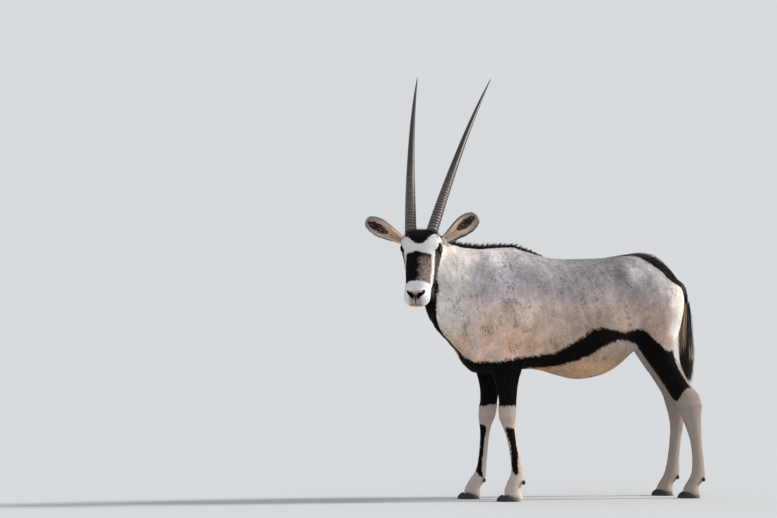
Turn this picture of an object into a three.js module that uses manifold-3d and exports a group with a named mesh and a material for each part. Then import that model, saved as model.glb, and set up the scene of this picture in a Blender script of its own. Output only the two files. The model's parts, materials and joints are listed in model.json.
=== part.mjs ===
// A gemsbok (Oryx gazella), standing still, life size, in millimetres.
// It faces -X with its left flank towards -Y, and its head is turned to its left.
import * as THREE from "three";
import { mergeVertices } from "three/addons/utils/BufferGeometryUtils.js";
import Module from "manifold-3d";

const wasm = await Module();
wasm.setup();

// Driving sizes
const GAP = 0.3;
const WITHERS_HEIGHT = 1188;
const HEAD_TURN = 62.3;
const FACE_FROM_UPRIGHT = 27;
const BROW = new THREE.Vector3(-786, -90, 1264);
const HORN_LENGTH = 986;
const HORN_BASE_RADIUS = 25;
const HORN_LEAN = 40.5;
const HORN_SPREAD = { left: 10.5, right: 4.6 };
const HORN_BOW = 60;
const HORN_SIDE_BOW = { left: 8, right: -5 };
const HORN_APART = 49;
const HORN_RINGS = 12;
const EAR_LENGTH = 230;
const EAR_WIDTH = { left: 94, right: 84 };
const EAR_REACH = { left: { out: 165, up: 131, back: 88 }, right: { out: 201, up: 112, back: -10 } };
const EYE_RADIUS = 21;
const EYE_PLACE = { along: 70, out: 76, down: 50 };
const MUZZLE_END = 362;
const CLAW_LENGTH = 98;
const CLAW_WIDTH = 41;
const MANE_SEED = 20177;
const BRUSH_SEED = 9041;

// Colours of the finishes
const FINISHES = {
  coat: new THREE.MeshStandardMaterial({ color: 0xb9ada6, roughness: 0.9, metalness: 0 }),
  dark_coat: new THREE.MeshStandardMaterial({ color: 0x1d1917, roughness: 0.85, metalness: 0 }),
  horn: new THREE.MeshStandardMaterial({ color: 0x3b3230, roughness: 0.5, metalness: 0 }),
  hoof: new THREE.MeshStandardMaterial({ color: 0x1c1816, roughness: 0.6, metalness: 0 }),
  eye: new THREE.MeshStandardMaterial({ color: 0x120c09, roughness: 0.15, metalness: 0 }),
};

const rad = THREE.MathUtils.degToRad;
const vec = (x, y, z) => new THREE.Vector3(x, y, z);
const HANDS = { left: 1, right: -1 };

// A smooth value at t through rows of numbers sorted by their first entry.
function smoothRow(rows, t) {
  const last = rows.length - 1;
  const place = THREE.MathUtils.clamp(t, rows[0][0], rows[last][0]);
  let i = rows.findIndex((row) => row[0] >= place);
  i = Math.max(i, 1);
  const [a, b] = [rows[i - 1], rows[i]];
  const before = rows[Math.max(i - 2, 0)];
  const after = rows[Math.min(i + 1, last)];
  const span = b[0] - a[0];
  const u = (place - a[0]) / span;
  return a.map((value, k) => {
    const slopeIn = ((b[k] - before[k]) / (b[0] - before[0])) * span;
    const slopeOut = ((after[k] - a[k]) / (after[0] - a[0])) * span;
    const rise = b[k] - value;
    return (
      value +
      u * slopeIn +
      u * u * (3 * rise - 2 * slopeIn - slopeOut) +
      u * u * u * (slopeIn + slopeOut - 2 * rise)
    );
  });
}

// Evenly spaced places from the first row to the last.
function places(rows, count) {
  const first = rows[0][0];
  const length = rows[rows.length - 1][0] - first;
  return Array.from({ length: count }, (_, i) => first + (length * i) / (count - 1));
}

// One ring of points: an egg shape that is wide along side, tall along up and low along -up.
function ring({ centre, side, up, wide, tall, low, power = 2 }, sides) {
  return Array.from({ length: sides }, (_, i) => {
    const turn = (2 * Math.PI * i) / sides;
    const across = Math.sign(Math.sin(turn)) * Math.abs(Math.sin(turn)) ** (2 / power);
    const along = Math.sign(Math.cos(turn)) * Math.abs(Math.cos(turn)) ** (2 / power);
    const reach = along > 0 ? tall : low;
    return centre
      .clone()
      .addScaledVector(side, across * wide)
      .addScaledVector(up, along * reach);
  });
}

// A closed body through rings of equal count, with a fan over each end, as a solid.
function solidThrough(rings, closed = false) {
  const sides = rings[0].length;
  const points = rings.flat();
  const faces = [];
  const bands = closed ? rings.length : rings.length - 1;
  for (let r = 0; r < bands; r++) {
    const next = (r + 1) % rings.length;
    for (let i = 0; i < sides; i++) {
      const j = (i + 1) % sides;
      const [a, b] = [r * sides + i, r * sides + j];
      const [c, d] = [next * sides + i, next * sides + j];
      faces.push([a, b, d], [a, d, c]);
    }
  }
  if (!closed) {
    for (const [start, forward] of [[0, false], [(rings.length - 1) * sides, true]]) {
      const middle = vec(0, 0, 0);
      for (let i = 0; i < sides; i++) middle.addScaledVector(points[start + i], 1 / sides);
      points.push(middle);
      for (let i = 0; i < sides; i++) {
        const pair = [start + i, start + ((i + 1) % sides)];
        faces.push(forward ? [pair[0], pair[1], points.length - 1] : [pair[1], pair[0], points.length - 1]);
      }
    }
  }
  return toSolid(points, faces);
}

function signedVolume(points, faces) {
  return faces.reduce((sum, [a, b, c]) => {
    const cross = points[b].clone().cross(points[c]);
    return sum + points[a].dot(cross) / 6;
  }, 0);
}

function toSolid(points, faces) {
  const outward = signedVolume(points, faces) > 0;
  const geometry = new THREE.BufferGeometry();
  const flat = new Float32Array(points.flatMap((p) => [p.x, p.y, p.z]));
  geometry.setAttribute("position", new THREE.BufferAttribute(flat, 3));
  geometry.setIndex(faces.flatMap(([a, b, c]) => (outward ? [a, b, c] : [a, c, b])));
  return fromGeometry(geometry);
}

// A three.js geometry as a solid.
function fromGeometry(geometry) {
  const bare = geometry.clone();
  bare.deleteAttribute("normal");
  bare.deleteAttribute("uv");
  const merged = mergeVertices(bare, 1e-3);
  return new wasm.Manifold(
    new wasm.Mesh({
      numProp: 3,
      vertProperties: new Float32Array(merged.attributes.position.array),
      triVerts: new Uint32Array(merged.index.array),
    }),
  );
}

// The largest closed surface of a solid.
function largest(solid) {
  return solid.decompose().reduce((best, piece) => (piece.volume() > best.volume() ? piece : best));
}

function join(solids) {
  return solids.reduce((all, next) => all.add(next));
}

// A big block on the far side of a plane, which starts clear of it by the given gap.
function beyond(point, direction, clear = 0) {
  const size = 3000;
  const block = new THREE.BoxGeometry(size, size, size);
  block.translate(0, 0, size / 2 + clear);
  const turn = new THREE.Quaternion().setFromUnitVectors(vec(0, 0, 1), direction.clone().normalize());
  block.applyQuaternion(turn);
  block.translate(point.x, point.y, point.z);
  return fromGeometry(block);
}

// Rounded swellings and hollows: each moves nearby points out from their ring's centre.
function swell(point, centre, swellings) {
  const outward = point.clone().sub(centre).normalize();
  const rise = swellings.reduce((sum, { at, reach, by }) => {
    const near = [0, 1, 2].reduce((far, axis) => {
      const place = axis === 1 ? Math.abs(point.y) : point.getComponent(axis);
      return far + ((place - at[axis]) / reach[axis]) ** 2;
    }, 0);
    return sum + by * Math.exp(-near);
  }, 0);
  return point.clone().addScaledVector(outward, rise);
}

// Repeatable draws between -1 and 1.
function draws(seed) {
  let state = seed;
  return () => {
    state = (state * 16807) % 2147483647;
    return (state / 2147483647) * 2 - 1;
  };
}

// A flat tapered lock of hair: it runs along lie from its sunk root and bends towards bendWay.
const LOCK_TAPER = [
  [0, 0.8],
  [0.4, 1],
  [0.75, 0.62],
  [1, 0.1],
];

function lock({ root, lie, flatWay, bendWay, length, wide, thick, bend }) {
  const side = lie.clone().cross(flatWay).normalize();
  const up = side.clone().cross(lie).normalize();
  const rings = LOCK_TAPER.map(([share, taper]) => {
    const centre = root.clone().addScaledVector(lie, length * share);
    centre.addScaledVector(bendWay, bend * share * share);
    return ring({ centre, side, up, wide: wide * taper, tall: thick * taper, low: thick * taper }, 4);
  });
  return solidThrough(rings);
}

// Trunk: rows of x, top, bottom, half width and height of the widest place.
const TRUNK = [
  [-645, 850, 785, 16, 815],
  [-628, 912, 748, 56, 815],
  [-600, 978, 724, 100, 820],
  [-575, 1030, 699, 126, 820],
  [-545, 1084, 646, 146, 820],
  [-515, 1128, 606, 159, 820],
  [-480, 1165, 596, 172, 820],
  [-390, WITHERS_HEIGHT - 4, 596, 180, 830],
  [-310, WITHERS_HEIGHT, 604, 184, 830],
  [-240, 1168, 612, 190, 830],
  [-170, 1147, 606, 198, 830],
  [-95, 1133, 585, 210, 820],
  [0, 1131, 563, 220, 815],
  [80, 1133, 568, 222, 820],
  [150, 1136, 588, 214, 850],
  [220, 1146, 630, 198, 890],
  [290, 1154, 690, 186, 920],
  [350, 1154, 730, 178, 930],
  [410, 1134, 755, 165, 930],
  [470, 1090, 790, 140, 930],
  [515, 1035, 835, 104, 935],
  [545, 985, 890, 50, 940],
];
const TRUNK_SHAPES = [
  { at: [-350, 190, 900], reach: [110, 200, 150], by: 12 },
  { at: [-560, 150, 780], reach: [60, 120, 70], by: 8 },
  { at: [-235, 190, 850], reach: [40, 200, 180], by: -5 },
  { at: [205, 180, 1075], reach: [45, 120, 45], by: 14 },
  { at: [170, 200, 985], reach: [70, 120, 70], by: -12 },
  { at: [390, 170, 930], reach: [110, 120, 110], by: 14 },
];

function trunk(grow = 0) {
  const rings = places(TRUNK, 34).map((x) => {
    const [, top, bottom, half, widest] = smoothRow(TRUNK, x);
    const centre = vec(x, 0, widest);
    const shape = { centre, side: vec(0, 1, 0), up: vec(0, 0, 1), power: 2.15 };
    const sizes = { wide: half + grow, tall: top - widest + grow, low: widest - bottom + grow };
    const points = ring({ ...shape, ...sizes }, 28);
    return points.map((p) => swell(p, centre, TRUNK_SHAPES));
  });
  return solidThrough(rings);
}

// Neck: rows of place, x, y, z, half depth, half width and rise of its line in degrees.
const NECK = [
  [0, -400, 0, 908, 262, 130, 26],
  [1, -502, 0, 953, 243, 130, 30],
  [2, -586, -2, 1003, 210, 118, 34],
  [3, -642, -6, 1058, 163, 104, 38],
  [4, -683, -12, 1115, 120, 90, 45],
  [5, -722, -22, 1168, 88, 72, 52],
];

// The neck's middle, its side and upward directions and its sizes at one place of its rows.
function neckSection(place) {
  const [, x, y, z, deep, wide, rise] = smoothRow(NECK, place);
  const turn = rad(THREE.MathUtils.lerp(0, 34, (place / 5) ** 1.4));
  const slope = rad(rise);
  const side = vec(-Math.sin(turn), Math.cos(turn), 0);
  const ahead = vec(-Math.cos(turn) * Math.cos(slope), -Math.sin(turn) * Math.cos(slope), Math.sin(slope));
  const up = side.clone().cross(ahead).normalize();
  return { centre: vec(x, y, z), side, up, ahead, deep, wide };
}

function neck(grow = 0) {
  const rings = places(NECK, 13).map((place) => {
    const { centre, side, up, deep, wide } = neckSection(place);
    const sizes = { wide: wide + grow, tall: deep + grow, low: deep + grow };
    return ring({ centre, side, up, ...sizes, power: 2.1 }, 22);
  });
  return solidThrough(rings);
}

// Mane: short upright locks in two staggered rows along the crest, from behind the horns past the withers.
const MANE = { length: 44, sunk: 18, wide: 13, thick: 3, apart: 6, onNeck: 11, onBack: 8 };

function maneLock(draw, crest, side, row, size) {
  const lie = vec(0.5 + 0.1 * draw(), 0, 1).addScaledVector(side, row * 0.14).normalize();
  const root = crest.clone().addScaledVector(lie, -MANE.sunk).addScaledVector(side, row * MANE.apart);
  const length = MANE.sunk + (MANE.length - MANE.sunk + 3 * draw()) * size;
  const shape = { length, wide: MANE.wide, thick: MANE.thick, bend: 8 * size };
  return lock({ root, lie, flatWay: side, bendWay: vec(1, 0, -0.2), ...shape });
}

function neckMane() {
  const draw = draws(MANE_SEED);
  const locks = [];
  for (let i = 0; i < MANE.onNeck * 2; i++) {
    const { centre, side, up, deep } = neckSection(4.8 - (3.5 * i) / (MANE.onNeck * 2 - 1));
    const size = 1 + (0.4 * i) / (MANE.onNeck * 2 - 1);
    locks.push(maneLock(draw, centre.clone().addScaledVector(up, deep), side, i % 2 ? 1 : -1, size));
  }
  return locks;
}

function backMane() {
  const draw = draws(MANE_SEED + 1);
  const locks = [];
  for (let i = 0; i < MANE.onBack * 2; i++) {
    const share = i / (MANE.onBack * 2 - 1);
    const x = THREE.MathUtils.lerp(-398, -190, share);
    const [, top] = smoothRow(TRUNK, x);
    locks.push(maneLock(draw, vec(x, 0, top), vec(0, 1, 0), i % 2 ? 1 : -1, 1.3 - 0.85 * share));
  }
  return locks;
}

// The head's own axes: ahead runs down the face, left is the animal's left, over points out of the brow.
const LEVEL_AHEAD = vec(-Math.cos(rad(HEAD_TURN)), -Math.sin(rad(HEAD_TURN)), 0);
const AHEAD = LEVEL_AHEAD.clone()
  .multiplyScalar(Math.sin(rad(FACE_FROM_UPRIGHT)))
  .add(vec(0, 0, -Math.cos(rad(FACE_FROM_UPRIGHT))));
const LEFT = vec(-LEVEL_AHEAD.y, LEVEL_AHEAD.x, 0);
const OVER = AHEAD.clone().cross(LEFT);

// A point of the head from its place along the face, out to the left and over the brow line.
function onHead(along, out, over) {
  return BROW.clone()
    .addScaledVector(AHEAD, along)
    .addScaledVector(LEFT, out)
    .addScaledVector(OVER, over);
}

// Skull: rows of place along the face, top, bottom, half width and level of the widest place.
const SKULL = [
  [-46, -72, -100, 20, -86],
  [-38, -44, -128, 52, -84],
  [-20, -18, -162, 70, -78],
  [0, -4, -184, 82, -72],
  [35, 2, -196, 97, -62],
  [70, 3, -204, 95, -62],
  [105, 2, -204, 85, -78],
  [145, 0, -196, 76, -96],
  [190, -2, -178, 68, -98],
  [235, -4, -150, 61, -82],
  [275, -6, -124, 58, -60],
  [305, -8, -106, 60, -52],
  [330, -12, -101, 59, -52],
  [348, -20, -96, 49, -54],
  [358, -34, -86, 34, -58],
  [MUZZLE_END, -48, -72, 16, -60],
];

function skull(grow = 0) {
  const rings = places(SKULL, 26).map((along) => {
    const [, top, bottom, half, widest] = smoothRow(SKULL, along);
    const sizes = { wide: half + grow, tall: top - widest + grow, low: widest - bottom + grow };
    return ring({ centre: onHead(along, 0, widest), side: LEFT, up: OVER, ...sizes, power: 2.5 }, 22);
  });
  return solidThrough(rings);
}

// Mouth: a thin groove between the lips, from one corner round the front to the other.
const MOUTH_DEPTH = 5;
const MOUTH = [
  [262, -74, 0.6],
  [285, -80, 1.6],
  [325, -85, 1.9],
  [390, -84, 1.9],
];

function mouthGroove() {
  const rings = MOUTH.map(([along, over, half]) =>
    [[-90, -half], [90, -half], [90, half], [-90, half]].map(([out, up]) => onHead(along, out, over + up)),
  );
  return solidThrough(rings).subtract(skull(-MOUTH_DEPTH));
}

// A rounded lump or hollow of the head, with its sizes along its own three directions.
function headLump(place, directions, sizes, detail = [8, 6]) {
  const lump = new THREE.SphereGeometry(1, ...detail);
  const axes = directions.map((way, i) => way.clone().multiplyScalar(sizes[i]));
  const frame = new THREE.Matrix4().makeBasis(...axes);
  lump.applyMatrix4(frame.setPosition(place));
  return fromGeometry(lump);
}

// Nostril: a slanted slit on each side of the nose, high outside and low inside.
function nostril(hand) {
  const slant = AHEAD.clone().multiplyScalar(0.72).addScaledVector(LEFT, -hand * 0.69).normalize();
  const inward = OVER.clone().multiplyScalar(-0.8).addScaledVector(AHEAD, -0.6);
  const across = slant.clone().cross(inward).normalize();
  return headLump(onHead(322, hand * 25, -15), [slant, across, slant.clone().cross(across)], [19, 6.5, 15]);
}

// Lips: a full upper lip on each side of the cleft under the nose, and a rounded lower lip.
function lips() {
  const ways = [AHEAD, LEFT, OVER];
  const upper = [-1, 1].map((hand) => headLump(onHead(334, hand * 25, -60), ways, [28, 30, 24]));
  return [...upper, headLump(onHead(330, 0, -88), ways, [26, 38, 15])];
}

// Eye opening between the lids, and the lids as a rim round it.
const LID_HALF = { long: 21, high: 13 };

function eyeOpening(hand) {
  const place = onHead(EYE_PLACE.along, hand * (EYE_PLACE.out + 18), -EYE_PLACE.down);
  const tilt = AHEAD.clone().multiplyScalar(0.94).addScaledVector(OVER, -0.34);
  const high = tilt.clone().cross(LEFT).normalize();
  return { place, tilt, high };
}

function lidRim(hand) {
  const { place, tilt, high } = eyeOpening(hand);
  const stations = 10;
  const rings = Array.from({ length: stations }, (_, i) => {
    const turn = (2 * Math.PI * i) / stations;
    const pinch = 1 - 0.18 * Math.cos(turn) ** 2;
    const long = LID_HALF.long * Math.cos(turn);
    const tall = LID_HALF.high * Math.sin(turn) * pinch;
    const centre = place.clone().addScaledVector(tilt, long).addScaledVector(high, tall);
    centre.addScaledVector(LEFT, hand * (1 - 5 * Math.cos(turn) ** 2));
    const outward = tilt.clone().multiplyScalar(Math.cos(turn)).addScaledVector(high, Math.sin(turn));
    outward.normalize();
    return ring({ centre, side: outward, up: LEFT, wide: 5, tall: 4.5, low: 4.5 }, 4);
  });
  return solidThrough(rings, true);
}

// Horns: nearly straight, leaning back and apart, bowed a little, ringed over the lower third.
function horn(name) {
  const hand = HANDS[name];
  const lean = rad(HORN_LEAN);
  const spread = rad(HORN_SPREAD[name]);
  const chord = vec(0, 0, Math.cos(lean) * Math.cos(spread))
    .addScaledVector(LEVEL_AHEAD, -Math.sin(lean) * Math.cos(spread))
    .addScaledVector(LEFT, hand * Math.sin(spread));
  const forward = LEVEL_AHEAD.clone().multiplyScalar(Math.cos(lean)).add(vec(0, 0, Math.sin(lean)));
  const root = onHead(0, hand * HORN_APART, -25);
  const ringed = 0.36;
  const stations = [];
  for (let i = 0; i <= HORN_RINGS * 2; i++) stations.push((ringed * i) / (HORN_RINGS * 2));
  for (let i = 1; i <= 9; i++) stations.push(ringed + ((1 - ringed) * i) / 9);
  const rings = stations.map((t, i) => {
    const bow = 4 * HORN_BOW * t * (1 - t);
    const centre = root
      .clone()
      .addScaledVector(chord, HORN_LENGTH * t)
      .addScaledVector(forward, bow)
      .addScaledVector(LEFT, 4 * HORN_SIDE_BOW[name] * t * (1 - t));
    const taper = HORN_BASE_RADIUS * (1 - t) ** 0.86 + 1.2;
    const ridge = t < ringed && i % 2 === 1 ? 2.2 : 0;
    const size = taper + ridge;
    return ring({ centre, side: LEFT, up: forward, wide: size, tall: size * 1.06, low: size * 1.06 }, 10);
  });
  return solidThrough(rings).subtract(skull(GAP)).subtract(neck(GAP));
}

// Ears: a leaf-shaped cup that opens forward, on a narrow stalk.
const EAR_SHAPE = [
  [0, 17, 17],
  [0.12, 18, 17],
  [0.3, 27, 18],
  [0.55, 40, 19],
  [0.72, 43, 16],
  [0.88, 33, 10],
  [0.97, 17, 5],
  [1, 5, 2],
];

function ear(name) {
  const hand = HANDS[name];
  const { out, up, back } = EAR_REACH[name];
  const reach = vec(0, 0, up).addScaledVector(LEFT, hand * out).addScaledVector(LEVEL_AHEAD, -back);
  const line = reach.clone().normalize();
  const root = onHead(12, hand * 77, -110);
  const open = LEVEL_AHEAD.clone().addScaledVector(line, -LEVEL_AHEAD.dot(line)).normalize();
  const across = open.clone().cross(line).normalize();
  const leaf = (shrink, forward) =>
    solidThrough(
      places(EAR_SHAPE, 11).map((t) => {
        const [, half, deep] = smoothRow(EAR_SHAPE, t);
        const width = (half * EAR_WIDTH[name]) / 86 - shrink;
        const along = EAR_LENGTH * t * (shrink ? 0.955 : 1) + shrink * 5;
        const centre = root.clone().addScaledVector(line, along).addScaledVector(open, forward);
        const thick = Math.max(deep - shrink, 1);
        const sizes = { wide: Math.max(width, 1), tall: thick, low: thick };
        return ring({ centre, side: across, up: open, ...sizes }, 10);
      }),
    );
  return leaf(0, 0).subtract(leaf(5, 9)).subtract(skull(GAP)).subtract(neck(GAP));
}

function eyeball(hand, grow = 0) {
  const ball = new THREE.SphereGeometry(EYE_RADIUS + grow, 12, 8);
  const place = onHead(EYE_PLACE.along, hand * EYE_PLACE.out, -EYE_PLACE.down);
  ball.translate(place.x, place.y, place.z);
  return fromGeometry(ball);
}

// Legs: rows of height, front edge, rear edge, half width and sideways place, for each of the four.
const FORELEG = {
  left: [
    [42, -397, -304, 40, 134],
    [55, -391, -302, 39, 134],
    [68, -385, -314, 37, 133],
    [82, -379, -302, 35, 133],
    [98, -371, -286, 33, 132],
    [125, -357, -289, 26, 130],
    [165, -354, -297, 22, 127],
    [255, -366, -317, 21, 121],
    [320, -380, -330, 24, 116],
    [360, -396, -330, 33, 113],
    [400, -412, -322, 39, 111],
    [440, -410, -322, 38, 110],
    [480, -410, -318, 39, 109],
    [530, -420, -314, 44, 108],
    [580, -438, -304, 52, 107],
    [640, -462, -286, 62, 106],
    [720, -486, -284, 62, 106],
    [800, -450, -310, 44, 100],
  ],
  right: [
    [42, -500, -422, 40, 134],
    [55, -493, -422, 39, 134],
    [68, -486, -422, 37, 133],
    [82, -477, -400, 35, 133],
    [98, -466, -390, 33, 132],
    [125, -446, -388, 26, 130],
    [165, -434, -386, 22, 127],
    [255, -426, -380, 21, 121],
    [320, -424, -374, 24, 116],
    [360, -430, -364, 33, 113],
    [400, -434, -345, 39, 111],
    [440, -430, -342, 38, 110],
    [480, -426, -336, 39, 109],
    [530, -430, -326, 44, 108],
    [580, -442, -310, 52, 107],
    [640, -462, -290, 62, 106],
    [720, -486, -284, 62, 106],
    [800, -450, -310, 44, 100],
  ],
};
const HINDLEG = {
  left: [
    [42, 503, 586, 40, 122],
    [54, 511, 587, 39, 122],
    [66, 520, 582, 37, 121],
    [80, 530, 602, 35, 121],
    [94, 540, 621, 33, 120],
    [120, 552, 622, 27, 119],
    [160, 555, 619, 23, 118],
    [264, 547, 607, 23, 116],
    [330, 525, 605, 28, 114],
    [380, 505, 604, 34, 113],
    [430, 482, 607, 40, 112],
    [468, 455, 609, 41, 112],
    [492, 440, 592, 38, 112],
    [522, 421, 560, 38, 112],
    [550, 401, 541, 42, 112],
    [580, 380, 524, 47, 112],
    [640, 336, 490, 58, 112],
    [690, 300, 464, 66, 112],
    [735, 278, 472, 74, 111],
    [800, 276, 494, 84, 108],
    [870, 262, 512, 90, 104],
    [940, 262, 522, 88, 98],
    [1000, 280, 500, 80, 90],
  ],
  right: [
    [42, 463, 545, 40, 122],
    [54, 472, 546, 39, 122],
    [66, 482, 544, 37, 121],
    [80, 491, 566, 35, 121],
    [94, 501, 584, 33, 120],
    [120, 510, 586, 27, 119],
    [160, 518, 584, 23, 118],
    [264, 531, 592, 23, 116],
    [330, 534, 602, 28, 114],
    [380, 526, 605, 34, 113],
    [430, 512, 608, 40, 112],
    [468, 498, 610, 41, 112],
    [492, 488, 596, 38, 112],
    [522, 470, 562, 38, 112],
    [550, 450, 542, 42, 112],
    [580, 430, 525, 47, 112],
    [640, 386, 491, 58, 112],
    [690, 352, 465, 66, 112],
    [735, 318, 472, 74, 111],
    [800, 276, 494, 84, 108],
    [870, 262, 512, 90, 104],
    [940, 262, 522, 88, 98],
    [1000, 280, 500, 80, 90],
  ],
};

// Each leg ends in a slanted line on the hooves, high over the toes and low at the heels.
const CORONET = { top: 98, front: 6, slope: 0.34 };

const FOOT_TOP = 110;

// A leg has a ring at each row of the foot and evenly spaced ones above it.
function leg(rows, hand, count, grow = 0) {
  const foot = rows.filter(([height]) => height < FOOT_TOP);
  const upper = rows.slice(foot.length);
  const heights = [...foot.map(([height]) => height), ...places(upper, count - foot.length)];
  const rings = heights.map((height) => {
    const [, front, rear, half, out] = smoothRow(rows, height);
    const centre = vec((front + rear) / 2, -hand * out, height);
    const deep = (rear - front) / 2 + grow;
    const sizes = { wide: half + grow, tall: deep, low: deep };
    const points = ring({ centre, side: vec(0, 1, 0), up: vec(1, 0, 0), ...sizes, power: 2.1 }, 13);
    const share = THREE.MathUtils.clamp((CORONET.top - height) / (CORONET.top - rows[0][0]), 0, 1);
    for (const p of points) p.z -= share * (CORONET.front + CORONET.slope * (p.x - front));
    return points;
  });
  return solidThrough(rings);
}

// The room of one leg: everything below a slanted cut that climbs from the midline to the outside.
function legRoom({ front, rear, low, high }, hand, clear = 0) {
  const inner = 14;
  const outer = 320;
  const climb = (high - low) / (outer - inner);
  const profile = [
    [inner - clear, -20],
    [inner - clear, low + clear],
    [outer, low + climb * (outer - inner) + clear],
    [outer, -20],
  ];
  const faces = [front - clear, rear + clear].map((x) => profile.map(([y, z]) => vec(x, -hand * y, z)));
  return solidThrough(faces);
}

const FORELEG_ROOM = { front: -500, rear: -262, low: 610, high: 900 };
const HINDLEG_ROOM = { front: 255, rear: 700, low: 700, high: 1120 };

// Tail: a slim dock that hangs behind the buttocks, with a long brush of locks from its lower half.
const TAIL = [
  [0, 500, 1034, 23],
  [0.12, 545, 1004, 20],
  [0.25, 568, 950, 15],
  [0.55, 576, 850, 11],
  [0.8, 577, 780, 13],
  [0.93, 578, 740, 11],
  [1, 578, 722, 5],
];
const BRUSH = { locks: 17, top: 880, bottom: 730, tips: 528, wide: 14, thick: 5, swell: 30 };

function tail() {
  const rings = places(TAIL, 14).map((share) => {
    const [, x, z, half] = smoothRow(TAIL, share);
    const up = vec(1, 0, 0.2).normalize();
    return ring({ centre: vec(x, 0, z), side: vec(0, 1, 0), up, wide: half, tall: half, low: half }, 7);
  });
  const draw = draws(BRUSH_SEED);
  const locks = Array.from({ length: BRUSH.locks }, (_, i) => {
    const share = i / (BRUSH.locks - 1);
    const height = THREE.MathUtils.lerp(BRUSH.top, BRUSH.bottom, share);
    const turn = i * 2.4 + 0.3 * draw();
    const out = vec(Math.cos(turn), Math.sin(turn), 0);
    const end = THREE.MathUtils.lerp(BRUSH.tips + 150, BRUSH.tips, share ** 0.6) + 16 * draw();
    const length = height - end;
    const swell = BRUSH.swell * (i % 3 === 2 ? 0.5 : 1);
    const lie = vec(0.05, 0, -1).addScaledVector(out, (3.4 * swell) / length).normalize();
    const root = vec(576, 0, height).addScaledVector(out, 3);
    const shape = { wide: BRUSH.wide * (0.8 + 0.3 * share), thick: BRUSH.thick, bend: 2.8 * swell };
    return lock({ root, lie, flatWay: out, bendWay: out.clone().negate(), length, ...shape });
  });
  return join([solidThrough(rings), ...locks]);
}

// Hoof claws: a pair under each foot, flat on the ground, tall at the toe and low at the heel.
const HEEL_DROP = 0.86;

function claw(toe, out, hand, side) {
  const heel = toe + CLAW_LENGTH;
  const levels = [
    [0, 0, 0, 1],
    [12, 2, 0, 1],
    [28, 14, -4, 0.98],
    [40, 26, -14, 0.92],
  ];
  const rings = levels.map(([z, toeIn, heelIn, share]) => {
    const front = toe + toeIn;
    const back = heel + heelIn;
    const middle = front + (back - front) * 0.56;
    return Array.from({ length: 12 }, (_, i) => {
      const turn = (2 * Math.PI * i) / 12;
      const ahead = Math.cos(turn) < 0 ? middle - front : back - middle;
      const x = middle + Math.cos(turn) * ahead;
      const pinch = Math.cos(turn) < 0 ? 1 - 0.25 * Math.cos(turn) ** 2 : 1;
      const y = Math.sin(turn) * (CLAW_WIDTH / 2) * share * pinch;
      const height = z * (1 - HEEL_DROP * ((x - toe) / CLAW_LENGTH));
      return vec(x, -hand * (out + side * (CLAW_WIDTH / 2 + 1.5) + y), height);
    });
  });
  return solidThrough(rings);
}

function dewclaw(x, out, hand, side, height) {
  const peg = new THREE.SphereGeometry(1, 7, 5);
  peg.scale(9, 8, 12);
  peg.translate(x, -hand * (out + side * 27), height);
  return fromGeometry(peg);
}

// The body is made in one and parted with thin cuts, as wide as the gap, into its nodes.
const legs = {
  foreleg_left: leg(FORELEG.left, HANDS.left, 24),
  foreleg_right: leg(FORELEG.right, HANDS.right, 24),
  hindleg_left: leg(HINDLEG.left, HANDS.left, 25),
  hindleg_right: leg(HINDLEG.right, HANDS.right, 25),
};
const whole = join([trunk(), neck(), ...Object.values(legs), ...neckMane(), ...backMane()]);

const model = new THREE.Group();
const solids = new Map();

const neckPlane = vec(-540, 0, 980);
const neckWay = vec(-0.857, 0, 0.515);
const front = whole.intersect(beyond(neckPlane, neckWay));
let torso = whole.subtract(beyond(neckPlane, neckWay, -GAP));
for (const [end, room, hand] of [
  ["foreleg_left", FORELEG_ROOM, 1],
  ["foreleg_right", FORELEG_ROOM, -1],
  ["hindleg_left", HINDLEG_ROOM, 1],
  ["hindleg_right", HINDLEG_ROOM, -1],
]) {
  solids.set(end, [largest(torso.intersect(legRoom(room, hand))), "coat"]);
  torso = torso.subtract(legRoom(room, hand, GAP));
}
solids.set("torso", [largest(torso), "coat"]);
solids.set("neck", [largest(front.subtract(skull(GAP))), "coat"]);
let head = join([skull(), ...lips(), lidRim(1), lidRim(-1)]).subtract(mouthGroove());
for (const [side, hand] of Object.entries(HANDS)) {
  const { place, tilt, high } = eyeOpening(hand);
  const ways = [tilt, high, tilt.clone().cross(high)];
  const opening = headLump(place, ways, [LID_HALF.long - 4, LID_HALF.high - 3.5, 14]);
  head = head.subtract(opening).subtract(eyeball(hand, GAP)).subtract(nostril(hand));
  solids.set("eye_" + side, [eyeball(hand), "eye"]);
  solids.set("horn_" + side, [largest(horn(side)), "horn"]);
  solids.set("ear_" + side, [largest(ear(side)), "coat"]);
}
solids.set("head", [largest(head), "coat"]);
const rump = join([trunk(GAP), leg(HINDLEG.left, 1, 25, GAP), leg(HINDLEG.right, -1, 25, GAP)]);
solids.set("tail", [largest(tail().subtract(rump)), "dark_coat"]);

const LEGS = { fore: FORELEG, hind: HINDLEG };
const FEET = [
  ["fore", "left", -421, 134, -303],
  ["fore", "right", -524, 134, -407],
  ["hind", "left", 487, 122, 602],
  ["hind", "right", 449, 122, 566],
];
for (const [end, side, toe, out, pastern] of FEET) {
  for (const [name, way] of [["inner", -1], ["outer", 1]]) {
    const label = end + "_claw_" + side + "_" + name;
    solids.set(label, [claw(toe, out, HANDS[side], way), "hoof"]);
    const room = leg(LEGS[end][side], HANDS[side], 24, GAP);
    const peg = dewclaw(pastern, out, HANDS[side], way, 88).subtract(room);
    solids.set(end + "_dewclaw_" + side + "_" + name, [largest(peg), "hoof"]);
  }
}

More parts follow.
